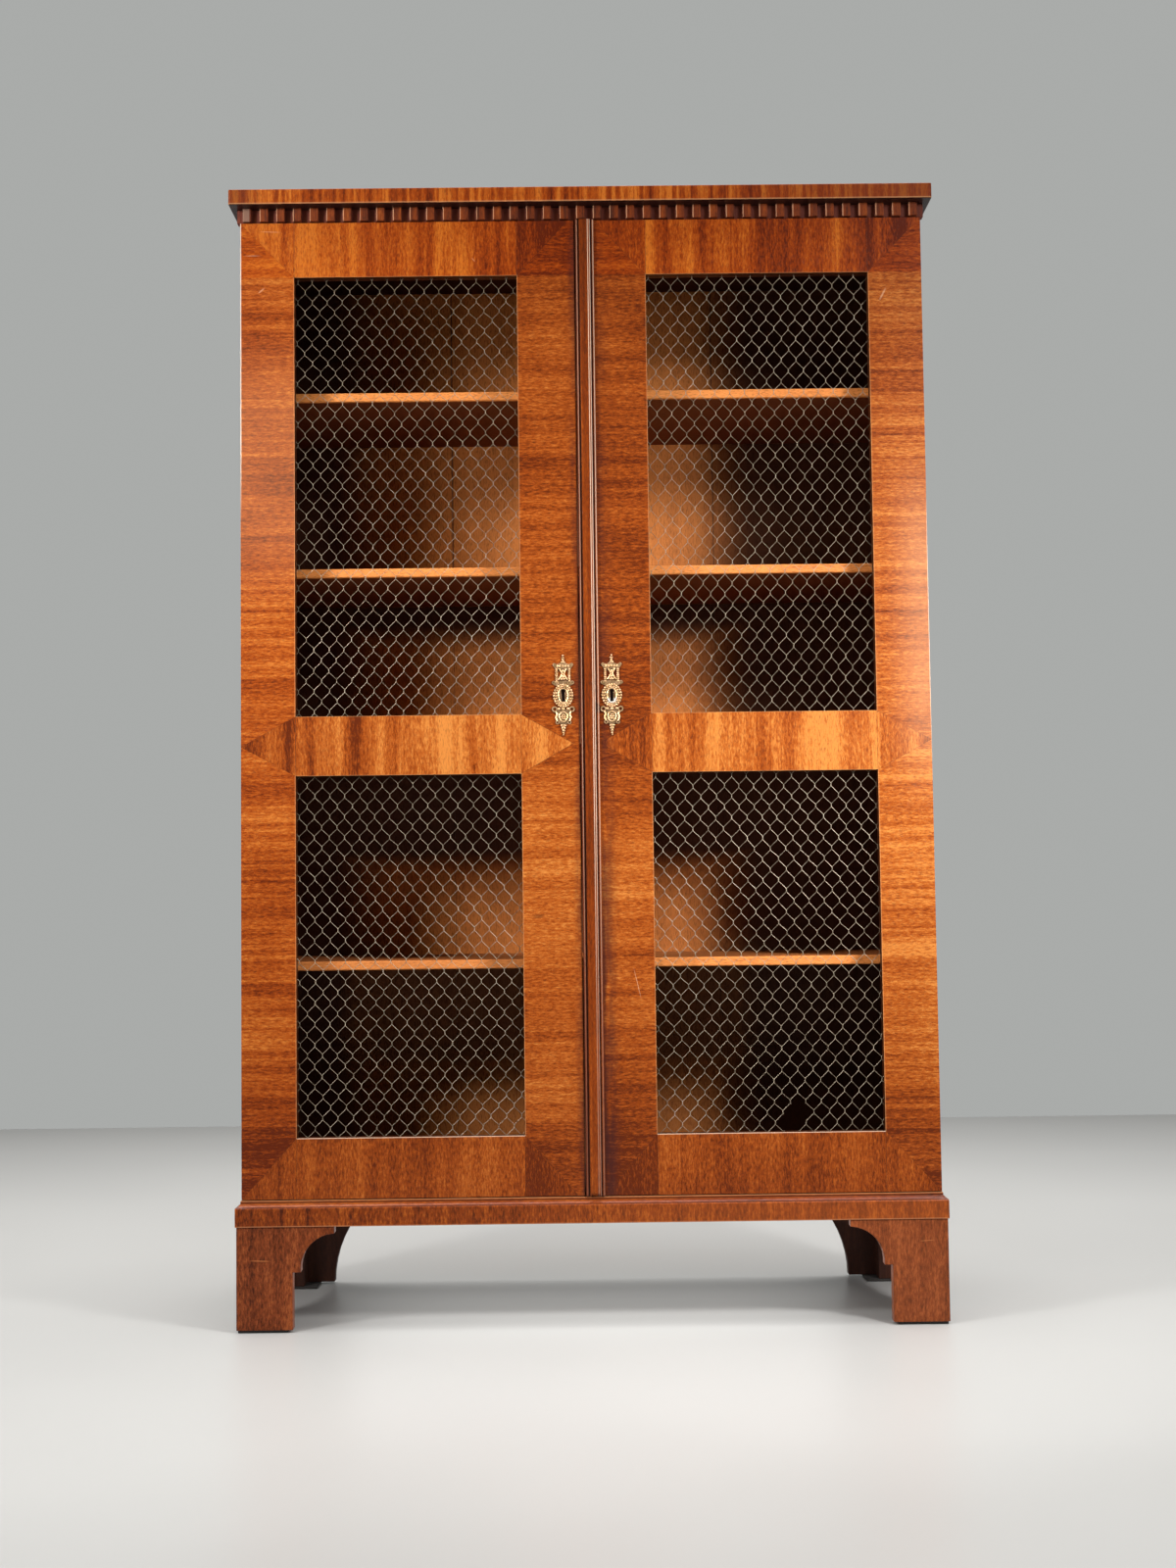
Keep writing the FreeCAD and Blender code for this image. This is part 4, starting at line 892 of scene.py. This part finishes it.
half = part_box("left_side")[0].x
reach = (flank[1].x - abs(half)) / (row[1].y - row[0].y)
flat = Matrix.Diagonal((1, reach, 1, 1))
side_pitch = (flank[1].y - flank[0].y - DENTIL) / (SIDE_DENTILS - 1)
teeth = []
for sign in (-1, 1):
    turn = Matrix.Rotation(sign * math.radians(90), 4, "Z")
    for index in range(SIDE_DENTILS):
        along = flank[0].y + DENTIL / 2 + index * side_pitch
        spot = Matrix.Translation((sign * (reach * row[1].y - half), along, 0))
        teeth.append(copy(one, spot @ turn @ flat))
seat(join("side_dentil_rows", teeth), dentil_wood, "side_dentils")
bpy.data.objects.remove(one)
print(f"{FRONT_DENTILS} dentils every {pitch / MM:.1f} mm, {SIDE_DENTILS} on each side")

# %% [markdown]
# ## Base
# Below the doors runs a rail with a small hollow moulding on it, mitred at the front corners. A curve with a
# profile could run round the corners in one go, but a joiner fits three lengths. So the outline is pulled
# along the front and both sides, and each length is cut off at an upright plane through the corner.

# %% Base rails and moulding
for node in ("base_rail_front", "base_rail_left", "base_rail_right"):
    rail = block(f"{node}_band", *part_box(node))
    if node == "base_rail_front":
        rail = ease(rail, 2.5 * MM, lambda a, b: min(a.z, b.z) > 0.19 and max(a.y, b.y) < -0.19, 3)
    seat(ease(rail, 1.0 * MM), base_veneer, node)


MOULDING_LOW, MOULDING_HIGH = 198.0, 208.5
MOULDING_BACK = -159.5 * MM
CORNER = 565.0 * MM


def cut_off(piece, corner, away, fill=True):
    """Cut a piece off at a plane through a corner."""
    with editing(piece):
        bpy.ops.mesh.bisect(plane_co=corner, plane_no=away, use_fill=fill, clear_outer=True)
    return piece


def hollow(out):
    """The moulding's outline: how far it stands out from the doors, and its height."""
    fall = arc((out * 1.5, 206.0), (out * 8.0, MOULDING_LOW), (out * 11.7, 207.6), 6)
    outline = [(0, MOULDING_LOW), (0, MOULDING_HIGH), (out * 1.5, MOULDING_HIGH)] + fall
    return [(start * MM, height * MM) for start, height in outline]


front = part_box("base_moulding_front")
strip = [(DOOR_FRONT + start if start else MOULDING_BACK, height) for start, height in hollow(-1)]
strip = plate("moulding_front", strip, "x", front[0].x, front[1].x)
ledge_z = MOULDING_HIGH * MM
for sign in (-1, 1):
    corner = Vector((sign * CORNER, DOOR_FRONT, 0))
    strip = cut_off(strip, corner, (sign, 1, 0))
    strip = carve(strip, pivot_recess(sign, ledge_z - PIVOT_PLATE, ledge_z + 1.5 * MM))
    name = "base_moulding_left" if sign < 0 else "base_moulding_right"
    run = [(sign * CORNER + start, height) for start, height in hollow(sign)]
    flank = cut_off(plate(f"{name}_strip", run, "y", front[0].y, back[1].y), corner, (-sign, -1, 0))
    seat(ease(flank, 0.4 * MM), moulding_wood, name)
seat(ease(strip, 0.4 * MM), moulding_wood, "base_moulding_front")
print("moulding mitred at two corners")

# %% [markdown]
# ## Feet
# The feet are brackets: a straight leg, a ledge and a hollow curve. They could be cut from blocks with
# Boolean modifiers, but an outline pulled to its thickness leaves cleaner faces. It is drawn once, from the
# outer edge inwards, and laid out along the front and the sides. The rear brackets have one plain sweep.

# %% Feet
LEG, WING, TALL = 90.5, 157.5, 163.5
PAD, FRONT_THICK = 4.0, 22.0
FOOT_EDGE, FOOT_FRONT, REAR_EDGE = 572.5 * MM, -194.0 * MM, 545.0 * MM
BRACKET = [(0, 0), (LEG, 0), (LEG, 91)] + arc((103.5, 91), (154, 152), (159.2, 96.2)) + [
    (WING, 152), (WING, TALL), (0, TALL)]
REAR = arc((81.5, 0), (177, TALL), (269.2, 0)) + [(177, 184.5), (0, 184.5), (0, 0)]


def foot(node, outline, axis, origin, inward, finish):
    """A bracket laid out from its outer edge along one axis."""
    low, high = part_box(node)
    skip = FRONT_THICK if node.startswith("foot_side_front") else 0.0
    laid = [(origin + inward * max(along, skip) * MM, (PAD + height) * MM) for along, height in outline]
    depth = "xyz".index(axis)
    piece = plate(f"{node}_bracket", laid, axis, low[depth], high[depth])
    seat(ease(piece, 1.1 * MM, segments=3), finish, node)


for side, sign in (("left", -1), ("right", 1)):
    foot(f"foot_front_{side}", BRACKET, "y", sign * FOOT_EDGE, -sign, foot_wood)
    foot(f"foot_side_front_{side}", BRACKET, "x", FOOT_FRONT, 1, foot_wood)
    foot(f"foot_side_rear_{side}", BRACKET, "x", back[1].y, -1, foot_wood)
    foot(f"foot_rear_{side}", REAR, "y", sign * REAR_EDGE, -sign, shaded_rear_wood)
dressed("foot_blocks", shaded_rear_wood, 1.0 * MM)
dressed("foot_pads", pad_black, 0.8 * MM)
print("eight brackets")

# %% [markdown]
# ## Doors
# Each door is a frame of two stiles and three rails. It could be one board with two windows, but then nothing
# would show where the members meet. Their arrises are eased very little, so that the joints are hairlines. A
# rebate behind each opening takes the netting and the bead that holds it. The keyholes, the lock and the
# pivots have their own housings.

# %% Door frames and beads
KEYS = {"left": -0.0376, "right": 0.042}
ESCUTCHEON_Z = 1.021
KEY_RISE, KEY_RADIUS, SLOT_HALF, SLOT_DROP = 7.0 * MM, 3.6 * MM, 2.5 * MM, 17.5 * MM
STRIKE = (-0.0219, -0.0110)
BEAD = 8.6 * MM


def keyhole(x, z, front, back):
    """A round hole with a slot below it, as a cutter."""
    ring = [math.radians(angle) for angle in range(-40, 221, 20)]
    outline = [(x + KEY_RADIUS * math.cos(angle), z + KEY_RADIUS * math.sin(angle)) for angle in ring]
    outline += [(x - SLOT_HALF, z - SLOT_DROP), (x + SLOT_HALF, z - SLOT_DROP)]
    return plate("keyhole", outline, "y", front, back)


for side, sign in (("left", -1), ("right", 1)):
    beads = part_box(f"{side}_netting_beads")
    sinks = []
    for level in ("upper", "lower"):
        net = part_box(f"{side}_{level}_netting")
        sinks.append(((beads[0].x, net[0].y, net[0].z - 0.5 * MM), (beads[1].x, 0.0, net[1].z + 0.5 * MM)))
    for part in ("hinge_stile", "meeting_stile", "top_rail", "middle_rail", "bottom_rail"):
        node = f"{side}_{part}"
        piece = ease(block(f"{node}_member", *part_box(node)), 0.35 * MM)
        cutters = [block("rebate", *sink) for sink in sinks]
        if part == "hinge_stile":
            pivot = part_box(f"{side}_door_pivots")
            low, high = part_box(node)
            for start, end in ((low.z - MM, low.z + PIVOT_PLATE), (high.z - PIVOT_PLATE, high.z + MM)):
                cutters.append(block("recess", (*pivot[0].xy, start), (*pivot[1].xy, end)))
        if part == "meeting_stile":
            key_z = ESCUTCHEON_Z + KEY_RISE
            cutters.append(keyhole(KEYS[side], key_z, DOOR_FRONT - 8 * MM, DOOR_FRONT + 9 * MM))
            if side == "right":
                cutters.append(block("housing", *grown(*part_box("lock_case"), y=0.05)))
            else:
                low, high = grown(*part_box("lock_bolt"), y=0.3, z=0.3)
                cutters.append(block("strike", (STRIKE[0], *low.yz), (STRIKE[1], *high.yz)))
        seat(carve(piece, *cutters), door_veneer, node)
    strips = []
    for (left, _, bottom), (right, _, top) in sinks:
        from_left, from_right = left + BEAD, right - BEAD
        for start, end in (((left, bottom), (from_left, top)), ((from_right, bottom), (right, top)),
                           ((from_left, bottom), (from_right, bottom + BEAD)),
                           ((from_left, top - BEAD), (from_right, top))):
            bead = block("bead", (start[0], beads[0].y, start[1]), (end[0], beads[1].y, end[1]))
            strips.append(ease(bead, 2.5 * MM, segments=3))
    seat(join(f"{side}_bead_strips", strips), side_veneer, f"{side}_netting_beads")
    dressed(f"{side}_door_pivots", plain_brass, 0.2 * MM)
print("two door frames with rebates, keyholes and beads")

# %% [markdown]
# ## Astragal
# The strip on the right door's meeting edge covers the gap between the doors. It could be stacked from three
# strips, but a moulding plane makes it in one, so here one outline is pulled to its length: a wide bead
# between two fillets. At the bottom the bead is cut short above the base.

# %% Astragal
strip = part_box("astragal")
PROFILE = ((0, 0), (31, 0), (31, 3.5), (27, 3.5), (27, 1.75), (24.5, 1.75), (24.5, 7.5), (6.5, 7.5),
           (6.5, 1.75), (4, 1.75), (4, 3.5), (0, 3.5))
BEAD_EDGE, FILLET_EDGE = -0.1935, -0.1895
outline = [(strip[0].x + across * MM, DOOR_FRONT - proud * MM) for across, proud in PROFILE]
piece = plate("astragal_bead", outline, "z", strip[0].z, strip[1].z)
stop = block("stop", (strip[0].x + 4 * MM, DOOR_FRONT - 0.01, 0.2), (strip[1].x - 4 * MM, -0.19, 0.214))
piece = carve(piece, stop)
for limit, width, segments in ((BEAD_EDGE, 1.6, 3), (FILLET_EDGE, 0.7, 2)):
    piece = ease(piece, width * MM, lambda a, b: max(a.y, b.y) < limit and abs(a.z - b.z) > 1, segments)
seat(piece, bead_wood, "astragal")
print(f"astragal {(strip[1].z - strip[0].z) / MM:.0f} mm long")

# %% [markdown]
# ## Wire netting
# The netting is woven from wires that zigzag side by side. Neighbours are twisted once round each other where
# they meet, and run almost straight in between. A flat sheet with holes would be lighter, but it has no round
# wires to catch the light. So one pair of wires is drawn as a curve and made mesh, an Array modifier repeats
# it across the opening, and three Displace modifiers push it about, because old netting is never quite even.

# %% Wires
TWIST = 5.2 * MM
WIRE = 0.40 * MM
sway_pattern = bpy.data.textures.new("netting_sway", "CLOUDS")
sway_pattern.noise_scale = 0.08


def wire_points(lean, column, pitch, rows, top_z, y):
    """One zigzag wire, from the top down, leaning to one side first."""
    points = []
    for row in range(rows):
        x = column if (row % 2 == 0) == (lean > 0) else 0.0
        hand = 1 if x == 0.0 else -1
        level = top_z - row * pitch
        for step in range(5):
            angle = math.pi * step / 2
            points.append((x + hand * WIRE * math.cos(angle), y + hand * WIRE * math.sin(angle),
                           level + TWIST * (0.5 - step / 4)))
        for share, ease_share in ((0.10, 0.075), (0.90, 0.925)):
            points.append((x + hand * (WIRE + (column - 2 * WIRE) * ease_share), y,
                           level - TWIST / 2 - share * (pitch - TWIST)))
    return points


def drawn(name, runs, radius, roundness, closed=False):
    """Wires through lists of points, drawn as one curve and made mesh."""
    curve = bpy.data.curves.new(name, "CURVE")
    curve.dimensions = "3D"
    curve.bevel_depth = radius
    curve.bevel_resolution = roundness
    for run in runs:
        spline = curve.splines.new("POLY")
        spline.use_cyclic_u = closed
        spline.points.add(len(run) - 1)
        for point, place in zip(spline.points, run):
            point.co = (*place, 1)
    active(added(name, curve))
    bpy.ops.object.convert(target="MESH")
    return bpy.context.object


print(f"wire {2 * WIRE / MM:.1f} mm thick")

# %% Panels of netting


def netting(node, shift, column, pitch):
    """A panel of netting in the place of the solid one."""
    low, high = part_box(node)
    column, pitch = column * MM, pitch * MM
    rows = int((high.z - low.z) / pitch) + 2
    pair = []
    for lean, start in ((1, low.x - column), (-1, low.x)):
        points = wire_points(lean, column, pitch, rows, high.z + shift * MM, (low.y + high.y) / 2)
        pair.append([(start + x, y, z) for x, y, z in points])
    piece = drawn(f"{node}_wires", pair, WIRE, 0)
    count = int((high.x - low.x) / (2 * column)) + 2
    modified(piece, "ARRAY", use_relative_offset=False, use_constant_offset=True,
             constant_offset_displace=(2 * column, 0, 0), count=count)
    for direction, reach in (("X", 5.0), ("Z", 4.0), ("Y", 1.2)):
        modified(piece, "DISPLACE", texture=sway_pattern, direction=direction, strength=reach * MM)
    for corner, away in ((low, (-1, 0, 0)), (low, (0, 0, -1)), (high, (1, 0, 0)), (high, (0, 0, 1))):
        cut_off(piece, corner, away, fill=False)
    return piece


def torn(piece, spot, reach):
    """A hole where the wires have broken away."""
    with editing(piece):
        bpy.ops.mesh.select_mode(type="VERT")
        bpy.ops.mesh.select_all(action="DESELECT")
        mesh = bmesh.from_edit_mesh(piece.data)
        for corner in mesh.verts:
            corner.select_set((corner.co - spot).length < reach)
        bpy.ops.mesh.delete(type="VERT")


PANELS = {"left_upper_netting": (4.0, 12.38, 17.1), "right_upper_netting": (7.0, 12.22, 17.7),
          "left_lower_netting": (9.0, 12.38, 16.85), "right_lower_netting": (2.0, 12.5, 17.15)}
for node, (shift, column, pitch) in PANELS.items():
    panel = netting(node, shift, column, pitch)
    if node == "right_lower_netting":
        torn(panel, Vector((0.332, panel.data.vertices[0].co.y, 0.329)), 17 * MM)
    seat(panel, wire_brass, node, angle=60)
    print(f"{node}: {len(panel.data.polygons)} faces")

# %% [markdown]
# ## Escutcheons
# A cast gilt plate surrounds each keyhole: a finial on a small capital, an open shaft, an oval with a beaded
# frame, two scrolls, a medallion and a pendant. It could be sculpted, but at this size it is quicker to build
# it up as the carver of the pattern would, from balls, hoops, cords and thin plates, and then to join them
# and copy the whole to both doors.

# %% Balls, hoops and cords
bpy.ops.object.select_all(action="DESELECT")
bpy.ops.mesh.primitive_uv_sphere_add(segments=9, ring_count=6, radius=1)
pearl = bpy.context.object
bpy.ops.object.select_all(action="DESELECT")
bpy.ops.mesh.primitive_torus_add(major_segments=20, minor_segments=6, major_radius=1, minor_radius=0.42)
hoop = bpy.context.object
hoop.data.transform(Matrix.Rotation(math.radians(90), 4, "X"))
casting = []


def place(master, u, v, wide, tall, deep, lie=1.2):
    """A copy of a master shape at a point of the plate, in millimetres."""
    size = Matrix.Diagonal((wide * MM, deep * MM, tall * MM, 1))
    casting.append(copy(master, Matrix.Translation((u * MM, -lie * MM, v * MM)) @ size))


def cord(radius, run, lie=1.2, closed=False):
    """A round cord through points of the plate, open or closed into a ring."""
    points = [(u * MM, -lie * MM, v * MM) for u, v in run]
    casting.append(drawn("cord", [points], radius * MM, 1, closed))


def oval(v, wide, tall, count=36):
    """Points round an oval, in millimetres."""
    turns = [2 * math.pi * index / count for index in range(count)]
    return [(wide * math.cos(turn), v + tall * math.sin(turn)) for turn in turns]


def both(*points):
    """An outline given by its right half, from top to bottom, and mirrored."""
    return list(points) + [(-u, v) for u, v in reversed(points)]


def leaf_plate(outline, thick, *cutters):
    """A thin plate of the casting with a softened front edge."""
    piece = carve(plate("thin", [(u * MM, v * MM) for u, v in outline], "y", -thick * MM, 0.0), *cutters)
    casting.append(ease(piece, 0.4 * MM, lambda a, b: max(a.y, b.y) < (0.2 - thick) * MM))


print(f"one ball has {len(pearl.data.polygons)} faces")

# %% [markdown]
# ## The casting
# Places on the plate are millimetres from its middle: `u` to the right and `v` up. One half could be made and
# mirrored, but then the balls in the middle would have to be halved. So what stands on both sides is made in
# a loop over them, and the rings of pearls follow ovals.

# %% Casting
for v, wide, tall in ((65, 1.8, 1.9), (61.4, 3.2, 1.5), (58.0, 2.5, 2.4), (54.4, 4.4, 1.8)):
    place(pearl, 0, v, wide, tall, 2.4)
leaf_plate(both((3, 53.6), (9, 50.8), (13.5, 52.6), (16.6, 51.4), (15.6, 47.6), (12.4, 43.6), (4, 43.0)), 2.0)
leaf_plate(both((2.6, 24.0), (9, 23.6), (13, 23.0), (16.8, 21.6), (15, 17), (8, 14), (3, 13.6)), 1.8)
leaf_plate(oval(-1.0, 16.4, 19.2), 1.6, keyhole(0.0, KEY_RISE, -8 * MM, 1 * MM))
leaf_plate(both((4.5, -23), (10.4, -26), (11.6, -33), (10.4, -41), (6.0, -47), (1.5, -49)), 1.6)
for u in (-9, -4.6, 0, 4.6, 9):
    place(pearl, u, 47.4, 2.1, 2.6, 1.8, 2.2)
for side in (-1, 1):
    for index in range(7):
        place(pearl, side * 10.4, 42.0 - index * 3.2, 2.6, 2.1, 2.4)
    for u, v, size in ((14.2, 50.4, 2.0), (15.2, 20.8, 2.3), (9.6, 19.6, 1.9), (14.0, -23.0, 3.7),
                       (9.8, -44.6, 2.4)):
        place(hoop, side * u, v, size, size, 3.0)
    place(pearl, side * 7.6, -22.4, 3.0, 2.4, 2.4)
    cord(1.6, [(side * u, v) for u, v in ((12.8, -26.6), (10.4, -31.0), (12.4, -36.0), (10.6, -42.0))])
    cord(1.4, [(side * u, v) for u, v in ((6.0, 43.6), (1.6, 36.4), (1.6, 33.6), (6.6, 25.6))])
for v, wide, tall in ((39.6, 2.6, 2.8), (35.0, 2.2, 2.4), (30.4, 2.8, 2.8), (26.4, 4.6, 2.0),
                      (-22.8, 3.2, 3.0)):
    place(pearl, 0, v, wide, tall, 2.2, 1.6)
for count, wide, tall, size in ((24, 15.0, 17.9, 2.2), (20, 11.4, 14.9, 2.0)):
    for u, v in oval(-1.0, wide, tall, count):
        place(pearl, u, v, size, size, 2.2, 1.7)
cord(1.25, oval(-1.0, 7.7, 12.2, 24), 2.0, closed=True)
cord(1.3, oval(-35.6, 6.6, 8.0, 20), 1.9, closed=True)
for u, v in oval(-35.6, 3.0, 3.8, 6) + [(0, -35.6)]:
    place(pearl, u, v, 1.7, 1.9, 1.5, 2.0)
for v, wide, tall in ((-50.0, 5.2, 2.2), (-54.0, 3.8, 2.9), (-58.4, 2.8, 2.6), (-62.2, 2.0, 2.0),
                      (-65.0, 1.4, 1.6)):
    place(pearl, 0, v, wide, tall, 2.0)
bpy.data.objects.remove(pearl)
bpy.data.objects.remove(hoop)

escutcheon = join("escutcheon", casting)
for side, x in KEYS.items():
    piece = copy(escutcheon, Matrix.Translation((x, DOOR_FRONT, ESCUTCHEON_Z)))
    piece.name = f"{side}_escutcheon_casting"
    seat(piece, gilt_brass, f"{side}_escutcheon", angle=50)
print(f"each escutcheon has {len(escutcheon.data.polygons)} faces")
bpy.data.objects.remove(escutcheon)

# %% [markdown]
# ## Fittings inside
# The bolts, the lock and their screws are small metal parts that show only with the doors open. They could be
# modelled anew, but their solids already have every hole, so these are copied, merged and eased.

# %% Bolts and lock
for node in ("bolt_guides", "bolt_screws", "top_bolt", "bottom_bolt", "lock_screws"):
    dressed(node, plain_brass, 0.3 * MM)
for node in ("lock_case", "lock_bolt"):
    dressed(node, lock_steel, 0.4 * MM)
print("fittings in place")

# %% [markdown]
# ## The end
# The box of the dressed cabinet is printed, so that a piece that made the cabinet larger would show.

# %% Sizes and the end
low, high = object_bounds()
print("dressed box", [round(end - start, 4) for start, end in zip(low, high)])
